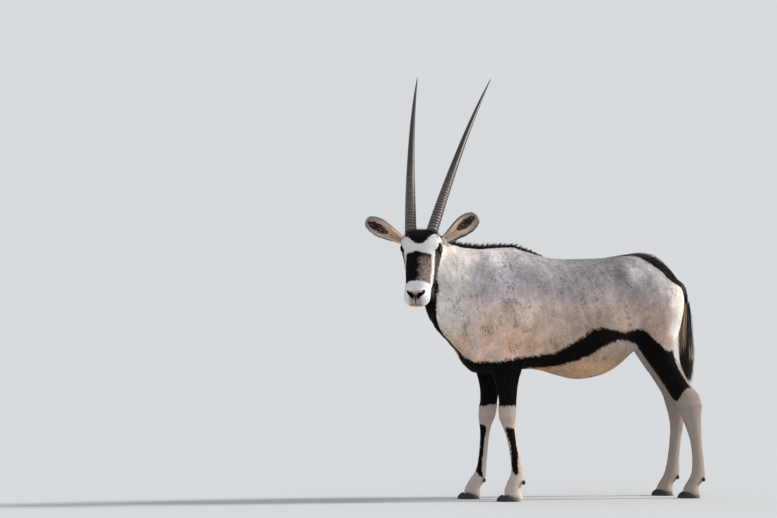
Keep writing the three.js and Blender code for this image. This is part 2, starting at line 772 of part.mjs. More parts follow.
for (const [name, [solid, finish]] of solids) {
  const { vertProperties, triVerts, numProp } = solid.getMesh();
  const geometry = new THREE.BufferGeometry();
  const count = vertProperties.length / numProp;
  const flat = new Float32Array(count * 3);
  for (let i = 0; i < count; i++) flat.set(vertProperties.subarray(i * numProp, i * numProp + 3), i * 3);
  geometry.setAttribute("position", new THREE.BufferAttribute(flat, 3));
  geometry.setIndex(new THREE.BufferAttribute(new Uint32Array(triVerts), 1));
  const mesh = new THREE.Mesh(geometry, FINISHES[finish]);
  mesh.name = name;
  model.add(mesh);
}

// The middle of the ground that the model covers becomes the origin.
const reach = new THREE.Box3().setFromObject(model);
const middle = reach.getCenter(vec(0, 0, 0));
model.position.set(-middle.x, -middle.y, -reach.min.z);

export default model;
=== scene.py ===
import json
import math

import bpy
import numpy as np
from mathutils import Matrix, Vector
from mathutils.bvhtree import BVHTree

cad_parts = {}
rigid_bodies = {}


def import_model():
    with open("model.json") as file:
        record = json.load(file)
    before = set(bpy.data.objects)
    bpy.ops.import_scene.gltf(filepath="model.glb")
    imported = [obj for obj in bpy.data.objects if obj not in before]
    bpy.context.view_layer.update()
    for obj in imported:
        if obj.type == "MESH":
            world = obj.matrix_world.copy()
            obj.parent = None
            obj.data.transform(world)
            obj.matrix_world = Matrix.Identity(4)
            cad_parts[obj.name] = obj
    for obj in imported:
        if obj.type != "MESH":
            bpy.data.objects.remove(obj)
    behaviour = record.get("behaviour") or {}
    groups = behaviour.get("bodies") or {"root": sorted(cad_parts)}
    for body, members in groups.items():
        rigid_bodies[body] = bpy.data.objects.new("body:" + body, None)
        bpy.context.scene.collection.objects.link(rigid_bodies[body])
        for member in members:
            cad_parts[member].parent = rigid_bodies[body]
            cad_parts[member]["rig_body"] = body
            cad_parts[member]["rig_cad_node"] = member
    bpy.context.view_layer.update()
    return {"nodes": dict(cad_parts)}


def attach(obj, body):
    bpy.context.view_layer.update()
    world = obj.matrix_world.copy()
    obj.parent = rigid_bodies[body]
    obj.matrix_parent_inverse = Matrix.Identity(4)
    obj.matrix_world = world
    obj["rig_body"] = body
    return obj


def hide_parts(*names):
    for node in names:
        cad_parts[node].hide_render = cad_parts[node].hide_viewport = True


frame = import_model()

# Place to look from: a long lens twenty metres away, level and at shoulder height, ahead of
# the middle of the flank, with the animal right of the middle of the picture.
CAMERA_AT = (-6.6577, -18.9774, 1.13)
CAMERA_TURN = math.radians(-17.5)
FOCAL_LENGTH_PIXELS = 4240
PICTURE_WIDTH_PIXELS = 777
SENSOR_WIDTH_MM = 36
bpy.ops.object.camera_add(location=CAMERA_AT, rotation=(math.radians(90), 0, CAMERA_TURN))
camera = bpy.context.object
camera.name = "camera"
camera.data.lens = FOCAL_LENGTH_PIXELS / PICTURE_WIDTH_PIXELS * SENSOR_WIDTH_MM
camera.data.sensor_width = SENSOR_WIDTH_MM
camera.data.clip_end = 2000
bpy.context.scene.camera = camera


# Floor: one wide pale studio floor under the hooves, dull and without a pattern. It is as
# bright as the room behind it, so that no horizon shows.
def new_finish(name, **sockets):
    """A new material with its shader's sockets set, its node tree, and the shader itself."""
    finish = bpy.data.materials.new(name)
    finish.use_nodes = True
    shader = finish.node_tree.nodes["Principled BSDF"]
    for key, value in sockets.items():
        shader.inputs[key.replace("_", " ")].default_value = value
    return finish, finish.node_tree, shader


FLOOR_GREY = (0.479, 0.499, 0.524, 1)
bpy.ops.mesh.primitive_plane_add(size=3000, location=(0, 0, 0))
floor = bpy.context.object
floor.name = "floor"
floor_finish, _, _ = new_finish("pale_floor", Base_Color=FLOOR_GREY, Roughness=1.0, Specular_IOR_Level=0.0)
floor.data.materials.append(floor_finish)

# Studio light: a broad warm key from the tail end, a little above the back, so that it grazes
# the flank, and an even pale room round the animal that is as bright as the lit floor.
KEY_FROM = (0.84, -0.12, 0.5)
bpy.ops.object.light_add(type="SUN", location=(8, 0, 6))
key_light = bpy.context.object
key_light.name = "key_light"
key_light.data.energy = 4.6
key_light.data.angle = math.radians(9)
key_light.data.color = (1.0, 0.95, 0.88)
key_light.rotation_euler = Vector(KEY_FROM).to_track_quat("Z", "Y").to_euler()
room = bpy.data.worlds.new("studio_room")
bpy.context.scene.world = room
room.use_nodes = True
background = room.node_tree.nodes["Background"]
background.inputs["Color"].default_value = (0.95, 0.975, 1.0, 1)
background.inputs["Strength"].default_value = 0.72
bpy.context.scene.view_settings.view_transform = "Standard"

# Skin: one closed hide of tanned leather, stretched over torso, neck, head, legs and the dock
# of the tail. It is grown together from the frame's solids, smoothed, worked into finer forms,
# and drawn in by the depth of the coat.
FLESH = ["torso", "neck", "head", "foreleg_left", "foreleg_right", "hindleg_left", "hindleg_right", "tail"]
FLESH_SWELL = 0.0006
SKIN_GRAIN = 0.009
COAT_DEPTH = 0.003
HEAD_COAT_DEPTH = 0.0012
LEG_COAT_DEPTH = 0.0015
MIDDLE = -0.1647
BRUSH_TOP = 0.9
DOCK_AT = 0.7625
DOCK_LENGTH = 0.19
DOCK_RADII = (0.007, 0.0125)
CREST_CURVE = 0.13
CREST = [
    (-0.493, 1.226, -0.149),
    (-0.42, 1.199, -0.142),
    (-0.359, 1.185, -0.143),
    (-0.283, 1.178, -0.148),
    (-0.203, 1.184, -0.158),
    (-0.123, 1.187, -0.165),
    (-0.053, 1.167, -0.165),
    (0.027, 1.145, -0.165),
]


def deselect():
    for each in bpy.context.view_layer.objects:
        each.select_set(False)


def only(piece):
    deselect()
    piece.select_set(True)
    bpy.context.view_layer.objects.active = piece


def join(pieces, name):
    deselect()
    for piece in pieces:
        piece.select_set(True)
    bpy.context.view_layer.objects.active = pieces[0]
    bpy.ops.object.join()
    whole = bpy.context.object
    whole.name = name
    whole.data.name = name
    return whole


def apply(piece, kind, **settings):
    only(piece)
    modifier = piece.modifiers.new(kind.lower(), kind)
    for key, value in settings.items():
        setattr(modifier, key, value)
    bpy.ops.object.modifier_apply(modifier=modifier.name)


def edit_whole(piece, operator, **settings):
    """Runs one mesh operator on all of a piece."""
    only(piece)
    bpy.ops.object.mode_set(mode="EDIT")
    bpy.ops.mesh.select_all(action="SELECT")
    operator(**settings)
    bpy.ops.object.mode_set(mode="OBJECT")


def copy_of(node, name):
    piece = frame["nodes"][node].copy()
    piece.data = piece.data.copy()
    piece.name = name
    piece.parent = None
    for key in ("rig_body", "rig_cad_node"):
        if key in piece:
            del piece[key]
    piece.data.materials.clear()
    for layer in list(piece.data.uv_layers):
        piece.data.uv_layers.remove(layer)
    bpy.context.scene.collection.objects.link(piece)
    edit_whole(piece, bpy.ops.mesh.remove_doubles, threshold=0.00001)
    return piece


def vectors(piece, what):
    values = np.empty(len(piece.data.vertices) * 3)
    piece.data.vertices.foreach_get(what, values)
    return values.reshape(-1, 3)


def place_at(piece, places):
    piece.data.vertices.foreach_set("co", places.ravel())
    piece.data.update()


def unit(ways):
    return ways / np.linalg.norm(ways, axis=1)[:, None]


def soft_step(value, low, high):
    share = np.clip((value - low) / (high - low), 0, 1)
    return share * share * (3 - 2 * share)


flesh = [copy_of(node, "flesh_" + node) for node in FLESH]
for piece in flesh:
    place_at(piece, vectors(piece, "co") + FLESH_SWELL * vectors(piece, "normal"))
cut = {"plane_co": (0, 0, BRUSH_TOP), "plane_no": (0, 0, 1), "clear_inner": True, "use_fill": True}
edit_whole(flesh[-1], bpy.ops.mesh.bisect, **cut)
bpy.ops.mesh.primitive_cone_add(
    vertices=16,
    radius1=DOCK_RADII[0],
    radius2=DOCK_RADII[1],
    depth=DOCK_LENGTH,
    location=(DOCK_AT, MIDDLE, BRUSH_TOP - 0.085),
)
flesh.append(bpy.context.object)
bpy.ops.object.transform_apply(location=True, rotation=True, scale=True)
skin = join(flesh, "skin")
apply(skin, "REMESH", mode="VOXEL", voxel_size=SKIN_GRAIN)
apply(skin, "SMOOTH", factor=0.5, iterations=4)

# The crest is pressed down to where the mane grows from, because the frame's locks stand on it.
at = vectors(skin, "co")
crest_x, crest_z, crest_y = np.array(CREST).T
off = at[:, 1] - np.interp(at[:, 0], crest_x, crest_y)
limit = np.interp(at[:, 0], crest_x, crest_z) - off**2 / CREST_CURVE
on_crest = (np.abs(off) < 0.05) & (at[:, 0] > -0.5) & (at[:, 0] < 0.04) & (at[:, 2] > limit)
at[on_crest, 2] = limit[on_crest]
place_at(skin, at)

# Head: its own directions run down the face, to the animal's left, and out of the face.
HEAD_TURN = math.radians(62.3)
FACE_LEAN = math.radians(27)
BROW = np.array([-0.5995, -0.2547, 1.264])
LEVEL = np.array([-math.cos(HEAD_TURN), -math.sin(HEAD_TURN), 0])
UPRIGHT = np.array([0, 0, 1.0])
AHEAD = LEVEL * math.sin(FACE_LEAN) - UPRIGHT * math.cos(FACE_LEAN)
OVER = LEVEL * math.cos(FACE_LEAN) + UPRIGHT * math.sin(FACE_LEAN)
LEFT = np.array([math.sin(HEAD_TURN), -math.cos(HEAD_TURN), 0])
HEAD_WAYS = np.stack([AHEAD, LEFT, OVER], 1)
EYE_RADIUS = 0.021


def on_head(places):
    return (places - BROW) @ HEAD_WAYS


def off_head(places):
    return BROW + places @ HEAD_WAYS.T


def refine(piece, chosen):
    """Divides the faces whose middles are chosen."""
    middles = np.empty(len(piece.data.polygons) * 3)
    piece.data.polygons.foreach_get("center", middles)
    picked = chosen(middles.reshape(-1, 3))
    piece.data.polygons.foreach_set("select", picked)
    piece.data.edges.foreach_set("select", np.zeros(len(piece.data.edges), bool))
    piece.data.vertices.foreach_set("select", np.zeros(len(piece.data.vertices), bool))
    only(piece)
    bpy.ops.object.mode_set(mode="EDIT")
    bpy.ops.mesh.select_mode(type="FACE")
    bpy.ops.mesh.subdivide(number_cuts=1, smoothness=0)
    bpy.ops.object.mode_set(mode="OBJECT")


def near_head(places):
    """Whether each place lies in the block round the head, which still holds some of the neck."""
    along, out, over = on_head(places).T
    between = (over > -0.215 + 0.1 * along) & (over < 0.06)
    return (along > -0.08) & (along < 0.4) & (np.abs(out) < 0.14) & between


def near_details(places):
    along, out, over = on_head(places).T
    eye = (np.hypot(along - 0.07, over + 0.05) < 0.05) & (np.abs(out) > 0.05)
    nose = (along > 0.255) & (along < 0.4) & (np.abs(out) < 0.1) & (over > -0.14) & (over < 0.03)
    return eye | nose


refine(skin, near_head)
apply(skin, "SMOOTH", factor=0.5, iterations=3)
refine(skin, near_details)
bpy.ops.object.shade_smooth()

# Eyes, nostrils and mouth are worked into the head: lids that lie on the eyeball round an
# opening, nostrils that slant in towards the cleft, and the line between the lips.
EYE_PLACE = (0.07, 0.076, -0.05)
EYE_OPENING = (0.0185, 0.011)
LID_THICKNESS = 0.0014
SOCKET_RADIUS = 0.0175
NOSTRIL_SLANT = (0.72, 0.69)
NOSTRIL_ALONG = 0.322
MOUTH_ALONG = (0.262, 0.285, 0.31)
MOUTH_OVER = (-0.074, -0.079, -0.082)


def bump(value, width):
    return np.exp(-((value / width) ** 2))


def lips_at(along, out):
    """The level where the lips meet: low at the sides, higher round the front."""
    rise = 0.03 * soft_step(np.abs(out), 0.046, 0.012) * (along > 0.3)
    return np.interp(along, MOUTH_ALONG, MOUTH_OVER) + rise


def on_nostril(along, out, hand, apart):
    """Places measured along and across the nostril of one hand."""
    down = along - NOSTRIL_ALONG
    outward = hand * (out - hand * apart)
    cosine, sine = NOSTRIL_SLANT
    return cosine * down - sine * outward, sine * down + cosine * outward


# Hollows and swellings of the body: behind the shoulder, at the hip, flank, stifle and neck.
# Each has its place, its reach and its height, and lies on both sides.
BODY_FORMS = [
    ((-0.085, 0.245, 0.73), (0.016, 0.12, 0.11), -0.007),
    ((-0.12, 0.22, 0.8), (0.05, 0.12, 0.1), 0.004),
    ((0.395, 0.15, 1.07), (0.045, 0.09, 0.03), 0.007),
    ((0.36, 0.17, 0.99), (0.06, 0.1, 0.05), -0.006),
    ((0.6, 0.13, 0.93), (0.05, 0.1, 0.09), 0.005),
    ((0.33, 0.19, 0.83), (0.05, 0.1, 0.06), 0.005),
    ((-0.33, 0.15, 0.95), (0.03, 0.12, 0.14), -0.004),
    ((-0.26, 0.17, 1.04), (0.05, 0.12, 0.09), 0.005),
]
at = vectors(skin, "co")
rise = np.zeros(len(at))
for (form_x, form_out, form_z), (wide_x, wide_out, wide_z), height in BODY_FORMS:
    near = bump(at[:, 0] - form_x, wide_x) * bump(np.abs(at[:, 1] - MIDDLE) - form_out, wide_out)
    rise += height * near * bump(at[:, 2] - form_z, wide_z)
RIB_STEP = 0.05
RIB_HEIGHT = 0.0012
ribs = bump(at[:, 0] - 0.12, 0.17) * bump(at[:, 2] - 0.88, 0.13)
rise += RIB_HEIGHT * ribs * np.sin((at[:, 0] + 0.25 * at[:, 2]) * 2 * math.pi / RIB_STEP)
place_at(skin, at + vectors(skin, "normal") * rise[:, None])

at = vectors(skin, "co")
normal = vectors(skin, "normal") @ HEAD_WAYS
along, out, over = on_head(at).T
moved = on_head(at)
for hand in (1, -1):
    ahead = along - EYE_PLACE[0]
    up = over - EYE_PLACE[2]
    side = out * hand - EYE_PLACE[1]
    long = 0.94 * ahead - 0.34 * up
    high = 0.34 * ahead + 0.94 * up
    reach = np.hypot(long, high)
    near = (reach < 0.04) & (side > -0.005) & (out * hand > 0.04)
    opening = np.hypot(long / EYE_OPENING[0], high / EYE_OPENING[1])
    lid = np.sqrt(np.maximum((EYE_RADIUS + LID_THICKNESS) ** 2 - reach**2, 0))
    inside = np.sqrt(np.maximum(SOCKET_RADIUS**2 - reach**2, 0))
    blend = soft_step(reach, 0.015, 0.034)
    shaped = np.where(opening < 1, inside, lid * (1 - blend) + side * blend)
    shaped = shaped + 0.003 * bump(high - 0.021, 0.006) * bump(long, 0.024)
    moved[near, 1] = hand * (EYE_PLACE[1] + shaped[near])
    slit_along, slit_across = on_nostril(along, out, hand, 0.025)
    width = 0.0062 - 0.09 * slit_along
    on_nose = (over > -0.06) & (along > 0.28)
    window = soft_step(np.abs(slit_along), 0.021, 0.012) * on_nose
    depth = 0.015 * bump(slit_across, width) * window
    rim = 0.0035 * bump(np.abs(slit_across) - 0.0115, 0.0045) * window
    moved[:, 2] -= 0.85 * (depth - rim)
    moved[:, 0] -= 0.3 * depth
moved[:, 0] += 0.011 * soft_step(np.abs(out), 0.05, 0.02) * soft_step(along, 0.02, -0.015)
lips = lips_at(along, out)
on_mouth = soft_step(along, 0.258, 0.272) * (np.abs(out) < 0.09)
gap = 0.0045 * bump(over - lips, 0.0026) * on_mouth
fullness = 0.0032 * (bump(over - lips - 0.013, 0.009) + bump(over - lips + 0.012, 0.008)) * on_mouth
cleft = 0.003 * bump(out, 0.0028) * soft_step(along, 0.33, 0.342) * (over > -0.05)
moved += normal * (fullness - gap - cleft)[:, None]
in_head = near_head(at) | near_details(at)
at[in_head] = off_head(moved)[in_head]
place_at(skin, at)

# The hide comes down over the coronets and hangs over the heels, and stays off the ground.
FOOT_FRONTS = (-0.307, -0.210, 0.653, 0.693)
OVERHANG = 0.006
SOLE_CLEAR = 0.004
at = vectors(skin, "co")
low = soft_step(at[:, 2], 0.06, 0.03)
at[:, 2] -= OVERHANG * low
for front in FOOT_FRONTS:
    heel = soft_step(at[:, 0], front + 0.045, front + 0.075) * (np.abs(at[:, 0] - front - 0.04) < 0.07)
    at[:, 2] -= OVERHANG * low * heel
    at[:, 0] += OVERHANG * low * heel
at[:, 2] = np.maximum(at[:, 2], SOLE_CLEAR)
place_at(skin, at)

# The whole hide is drawn in by about the thickness of the coat that will lie on it, which is
# thinner on the head and the lower legs, and by nothing round the eyes.
at = vectors(skin, "co")
along, out, over = on_head(at).T
depth = np.where(in_head, HEAD_COAT_DEPTH, COAT_DEPTH)
depth = np.where(at[:, 2] < 0.45, LEG_COAT_DEPTH, depth)
for hand in (1, -1):
    bare = np.hypot(along - EYE_PLACE[0], over - EYE_PLACE[2]) < 0.034
    depth = np.where(bare & (out * hand > 0.05), 0, depth)
place_at(skin, at - vectors(skin, "normal") * depth[:, None])

# Ears: two leaf-shaped cups of hide over cartilage, each turned a little forward, with a rolled
# rim. They are grown finer than the body, their tips are drawn in, and they are part of the skin.
EARS = {
    "ear_left": (1, (0.165, 0.131, 0.088)),
    "ear_right": (-1, (0.201, 0.112, -0.010)),
}
EAR_ROOT = (0.012, 0.077, -0.11)
EAR_LENGTH = 0.23
EAR_SWELL = 0.0012
EAR_SHARES = (0.1, 0.3, 0.55, 0.72, 0.88, 0.97, 1.0)
EAR_HALF = (0.02, 0.029, 0.043, 0.046, 0.036, 0.019, 0.006)
EAR_GRAIN = 0.0024
EAR_TIP_FROM = 0.94
ears = []
ear_frames = {}
for name, (hand, (reach_out, reach_up, reach_back)) in EARS.items():
    ear = copy_of(name, "skin_" + name)
    line = hand * reach_out * LEFT + reach_up * UPRIGHT - reach_back * LEVEL
    line = line / np.linalg.norm(line)
    opens = LEVEL - LEVEL.dot(line) * line
    opens = opens / np.linalg.norm(opens)
    place_at(ear, vectors(ear, "co") + EAR_SWELL * vectors(ear, "normal"))
    apply(ear, "REMESH", mode="VOXEL", voxel_size=EAR_GRAIN)
    apply(ear, "SMOOTH", factor=0.5, iterations=5)
    at = vectors(ear, "co")
    root = off_head(np.array([EAR_ROOT[0], hand * EAR_ROOT[1], EAR_ROOT[2]]))
    beyond = (at - root) @ line - EAR_TIP_FROM * EAR_LENGTH
    place_at(ear, at - np.maximum(beyond, 0)[:, None] * 0.7 * line)
    ear_frames[name] = (root, line, opens, np.cross(opens, line))
    ears.append(ear)
skin = join([skin] + ears, "skin")
edit_whole(skin, bpy.ops.uv.smart_project, angle_limit=math.radians(66), island_margin=0.001)
skin.data.uv_layers[0].name = "OFBake"
bpy.ops.object.shade_smooth()

# Markings, the colours of the hair with painted sunlight and painted shade in the ground: black flank
# stripe, thigh, forearms, throat, croup and face patches on a grey-fawn hide with white face and legs. Each
# black patch has an outline in metres, seen from the side or from the front of the face.
FLANK = [
    (-0.263, 0.655), (-0.155, 0.674), (-0.054, 0.682), (0.032, 0.696), (0.113, 0.746), (0.201, 0.804),
    (0.25, 0.814), (0.328, 0.799), (0.367, 0.79), (0.404, 0.801), (0.441, 0.808), (0.481, 0.8),
    (0.501, 0.787), (0.523, 0.757), (0.555, 0.733), (0.582, 0.71), (0.606, 0.702), (0.627, 0.706),
    (0.635, 0.677), (0.644, 0.646), (0.665, 0.607), (0.694, 0.567), (0.718, 0.537), (0.725, 0.526),
    (0.704, 0.521), (0.69, 0.513), (0.678, 0.492), (0.668, 0.472), (0.66, 0.459), (0.65, 0.468),
    (0.637, 0.48), (0.607, 0.53), (0.575, 0.574), (0.502, 0.672), (0.471, 0.715), (0.447, 0.737),
    (0.415, 0.746), (0.388, 0.752), (0.359, 0.755), (0.33, 0.751), (0.297, 0.739), (0.254, 0.724),
    (0.209, 0.688), (0.127, 0.653), (0.052, 0.629), (-0.027, 0.622), (-0.154, 0.625), (-0.263, 0.62),
]
FOREARM = [
    (-0.433, 0.71), (-0.4, 0.697), (-0.333, 0.655), (-0.283, 0.66), (-0.213, 0.648), (-0.153, 0.66),
    (-0.103, 0.674), (-0.063, 0.66), (-0.063, 0.44), (-0.143, 0.447), (-0.213, 0.446), (-0.283, 0.427),
    (-0.333, 0.438), (-0.433, 0.44), (-0.503, 0.6),
]
NOSE = [
    (0.118, -0.0585), (0.1155, -0.044), (0.114, -0.027), (0.1085, -0.012), (0.1095, -0.004),
    (0.112, 0.007), (0.1165, 0.026), (0.119, 0.046), (0.119, 0.0585), (0.155, 0.06), (0.188, 0.0595),
    (0.224, 0.0585), (0.259, 0.0575), (0.262, 0.046), (0.2615, 0.028), (0.26, 0.005), (0.2625, -0.018),
    (0.2645, -0.04), (0.262, -0.062), (0.24, -0.0625), (0.208, -0.062), (0.176, -0.0605),
    (0.143, -0.0595),
]
CROWN = [
    (-0.02, -0.12), (0.005, -0.088), (0.018, -0.077), (0.031, -0.064), (0.044, -0.047), (0.062, -0.03),
    (0.072, -0.014), (0.074, 0.003), (0.069, 0.018), (0.055, 0.031), (0.037, 0.044), (0.022, 0.054),
    (0.009, 0.064), (-0.01, 0.09), (-0.2, 0.1), (-0.2, -0.12),
]
CHEEK = [
    (0.05, -0.03), (0.093, -0.022), (0.107, -0.032), (0.134, -0.042), (0.173, -0.068), (0.204, -0.083),
    (0.224, -0.095), (0.262, -0.105), (0.25, -0.19), (0.19, -0.24), (0.13, -0.2), (0.105, -0.125),
    (0.087, -0.088), (0.05, -0.078),
]
CROUP_ALONG = (
    0.397, 0.43, 0.458, 0.476, 0.491, 0.522, 0.544, 0.567, 0.604, 0.626, 0.652, 0.674, 0.704, 0.737, 0.797,
)
CROUP_HALF = (
    -0.002, 0.036, 0.042, 0.058, 0.08, 0.108, 0.12, 0.128, 0.14, 0.138, 0.128, 0.112, 0.08, 0.05, 0.04,
)
THROAT_UP = (0.6, 0.64, 0.68, 0.72, 0.78, 0.85, 0.91, 0.95, 1.0, 1.03, 1.08, 1.125, 1.16, 1.19)
THROAT_HALF = (0.06, 0.05, 0.03, 0.016, 0.014, 0.032, 0.041, 0.046, 0.05, 0.053, 0.05, 0.042, 0.03, -0.02)
HIND_UP = (0.3, 0.43, 0.468, 0.492, 0.522, 0.55, 0.58, 0.64, 0.69, 0.735, 0.8)
HIND_REAR = (0.787, 0.794, 0.796, 0.782, 0.748, 0.728, 0.711, 0.677, 0.651, 0.658, 0.68)
HIND_SHARE = (1.0, 1.3, 1.375, 1.462, 1.511, 1.522, 1.516, 1.467, 1.451, 1.26, 1.0)
CANNON = {
    "left": [
        (-0.199, 0.35), (-0.186, 0.31), (-0.175, 0.276), (-0.17, 0.243), (-0.167, 0.21), (-0.165, 0.17),
        (-0.163, 0.143), (-0.156, 0.124), (-0.148, 0.12), (-0.139, 0.137), (-0.139, 0.17), (-0.138, 0.21),
        (-0.14, 0.243), (-0.144, 0.276), (-0.147, 0.309), (-0.153, 0.342),
    ],
    "right": [
        (-0.246, 0.36), (-0.242, 0.33), (-0.236, 0.287), (-0.237, 0.247), (-0.241, 0.2), (-0.247, 0.159),
        (-0.254, 0.132), (-0.248, 0.113), (-0.231, 0.098), (-0.226, 0.11), (-0.23, 0.133), (-0.23, 0.159),
        (-0.227, 0.2), (-0.222, 0.247), (-0.22, 0.288), (-0.213, 0.321), (-0.218, 0.345),
    ],
}
THROAT_MIDDLE_UP = (0.67, 0.75, 0.835, 0.934, 1.03, 1.114)
THROAT_MIDDLE = (-0.165, -0.172, -0.186, -0.199, -0.213, -0.226)
THROAT_FRONT_UP = (0.6, 0.67, 0.75, 0.835, 0.934, 1.03, 1.114)
THROAT_FRONT = (-0.2, -0.27, -0.36, -0.44, -0.49, -0.52, -0.545)
FAWN = (0.6, 0.49, 0.44)
LOW_TAN = (0.68, 0.455, 0.32)
GREY = (0.42, 0.405, 0.44)
# Pale hair at the croup edge, also used for painted sunlight on the withers and hip.
PALE_AND_SUNLIT = (0.88, 0.83, 0.8)
# Painted sunlight and shade along the body: lighter over the neck and withers, darker over the rear of the
# trunk.
SUN_AND_SHADE_AT = (-0.5, -0.36, -0.24, -0.12, 0.0, 0.12, 0.36, 0.48, 0.6)
SUN_AND_SHADE = (1.15, 1.36, 1.36, 1.18, 1.14, 0.88, 0.76, 0.78, 1.0)
NECK_CREAM_SUNLIT = (0.9, 0.84, 0.78)
# Painted warm bounce light on the white belly.
BELLY_BOUNCE_LIGHT = (0.7, 0.44, 0.27)
LEG_WHITE_SHADED = (0.53, 0.455, 0.41)
HIND_LEG_SHADED = (0.36, 0.295, 0.26)
KNEE_TAN = (0.5, 0.36, 0.26)
FACE_WHITE = (0.78, 0.77, 0.78)
RUMP_WHITE_SUNLIT = (0.86, 0.81, 0.76)
SOFT_BLACK = (0.0042, 0.003, 0.0026)
NOSE_BROWN = (0.3, 0.235, 0.21)
CHEEK_BROWN = (0.3, 0.25, 0.2)
JAW_BROWN = (0.26, 0.21, 0.165)
NOSE_GREY = (0.36, 0.295, 0.285)
NOSE_DARK = (0.03, 0.022, 0.02)
LIP_PINK = (0.46, 0.26, 0.17)
CHIN_TAN = (0.66, 0.44, 0.28)
EAR_BACK = (0.3, 0.235, 0.2)
EAR_INSIDE = (0.76, 0.62, 0.53)
EAR_TAN = (0.8, 0.52, 0.34)
EAR_TIP = (0.27, 0.19, 0.15)
EAR_EDGE = (0.2, 0.14, 0.11)
EAR_PATCH = (0.16, 0.11, 0.08)
EAR_BLACK = (0.03, 0.02, 0.016)


def within(across, up, outline):
    """How far inside the outline each place lies, in metres, and less than nothing outside it."""
    corners = np.array(outline)
    inside = np.zeros(len(across), bool)
    nearest = np.full(len(across), 1e9)
    for (x0, y0), (x1, y1) in zip(corners, np.roll(corners, -1, 0)):
        run, climb = x1 - x0, y1 - y0
        share = np.clip(((across - x0) * run + (up - y0) * climb) / (run**2 + climb**2), 0, 1)
        nearest = np.minimum(nearest, np.hypot(across - x0 - share * run, up - y0 - share * climb))
        crosses = (y0 > up) != (y1 > up)
        inside ^= crosses & (across < x0 + (up - y0) * run / (climb + 1e-12))
    return np.where(inside, nearest, -nearest)


head_tree = BVHTree.FromObject(frame["nodes"]["head"], bpy.context.evaluated_depsgraph_get())
neck_tree = BVHTree.FromObject(frame["nodes"]["neck"], bpy.context.evaluated_depsgraph_get())


def of_head(places):
    """Whether each place lies on the head and not on the neck behind it."""
    chosen = near_head(places)
    for index in np.flatnonzero(chosen):
        spot = Vector(places[index])
        chosen[index] = head_tree.find_nearest(spot)[3] < neck_tree.find_nearest(spot)[3]
    return chosen


# Thin dark lines, such as the one between the lips, count this many times over, so that the
# hairs blur their edges less.
CRISP = 2.5


def cover(ground, colour, share):
    """The ground colours with one more colour laid over a share of each."""
    return ground + (np.array(colour) - ground) * share[:, None]


def add_patch(black, patch, allowed):
    """The black patches with one more, which counts only where it is allowed."""
    return np.maximum(black, np.where(allowed, patch, -1))


def body_tones(x, z):
    """The ground colour of trunk, neck and legs with painted sunlight and shade, how far each place is leg,
    and a slow patchiness.
    """
    patchy = 0.6 + 0.4 * np.sin(x * 23 + 4 * np.sin(z * 19)) * np.sin(z * 31 + 3 * np.sin(x * 17))
    ground = np.tile(np.array(FAWN), (len(x), 1))
    ground = cover(ground, LOW_TAN, soft_step(z, 0.95, 0.74) * patchy)
    ground = cover(ground, GREY, soft_step(z, 0.88, 1.04) * 0.9)
    # Painted sunlight on the neck and withers, and painted shade over the rear of the trunk.
    ground = ground * np.interp(x, SUN_AND_SHADE_AT, SUN_AND_SHADE)[:, None]
    # Painted shade high on the ribs behind the shoulder.
    ground = ground * (1 - 0.26 * bump(x + 0.05, 0.11) * bump(z - 1.05, 0.07))[:, None]
    # The white of the rump: partly the white hair of the buttocks, partly a painted sunlit strip down the
    # rear of the haunch.
    edge = x + 0.008 * np.sin(z * 41) + 0.004 * np.sin(z * 97 + 1)
    rump = soft_step(edge, 0.59, 0.63) * soft_step(z, 0.66, 0.76) * soft_step(z, 1.06, 1.0)
    # Painted sunlight: a pale patch over the top of the withers, and a painted highlight on the hip bone.
    ground = cover(ground, PALE_AND_SUNLIT, bump(x + 0.26, 0.13) * soft_step(z, 1.06, 1.14) * 0.85)
    ground = cover(ground, PALE_AND_SUNLIT, bump(x - 0.45, 0.06) * bump(z - 1.06, 0.045) * 0.5)
    # The pale neck: partly the cream of its hair, partly painted sunlight on the neck.
    ground = cover(ground, NECK_CREAM_SUNLIT, soft_step(x, -0.24, -0.5) * soft_step(z, 0.72, 0.86))
    # Painted warm light bounced up from the ground, laid as tan over the white belly.
    ground = cover(ground, BELLY_BOUNCE_LIGHT, soft_step(z, 0.7, 0.62) * (x > -0.2) * (x < 0.56))
    ground = cover(ground, RUMP_WHITE_SUNLIT, rump)
    legs = soft_step(z, 0.6, 0.5) * ((x < 0.0) | (x > 0.5))
    legs = np.maximum(legs, (x > 0.4) * (z < 0.78) * soft_step(z, 0.78, 0.7))
    # The whitish legs, greyer than their white as painted shade, and the hind legs darker again as painted
    # shade.
    ground = cover(ground, LEG_WHITE_SHADED, legs)
    ground = cover(ground, HIND_LEG_SHADED, legs * (x > 0.4) * soft_step(z, 0.72, 0.55))
    ground = cover(ground, KNEE_TAN, bump(z - 0.375, 0.022) * (x < 0) * 0.6)
    return ground, legs, patchy


def side_patches(x, y, z, facing):
    """How far inside the black of flank, thigh, forearm and cannon each place lies."""
    thigh = x > 0.42
    far = y > MIDDLE
    rear = np.interp(z, HIND_UP, HIND_REAR)
    far_x = rear - (rear - x) * np.interp(z, HIND_UP, HIND_SHARE)
    flank_x = np.where((z < 0.8) & thigh & far, far_x, x)
    outer = np.where((z < 0.7) & thigh, np.abs(y - MIDDLE) - 0.1, 1)
    black = np.minimum(within(flank_x, z, FLANK), outer)
    black = np.where((z < 0.78) & thigh & far, np.minimum(black, 0.03 * (facing - 0.2)), black)
    black = np.where(x > -0.3, black, -1)
    black = add_patch(black, within(x, z, FOREARM), x < 0.0)
    for side, outline in CANNON.items():
        chosen = (x < 0) & (z < 0.4) & ((y < MIDDLE) == (side == "left"))
        black = add_patch(black, within(x, z, outline), chosen)
    return black


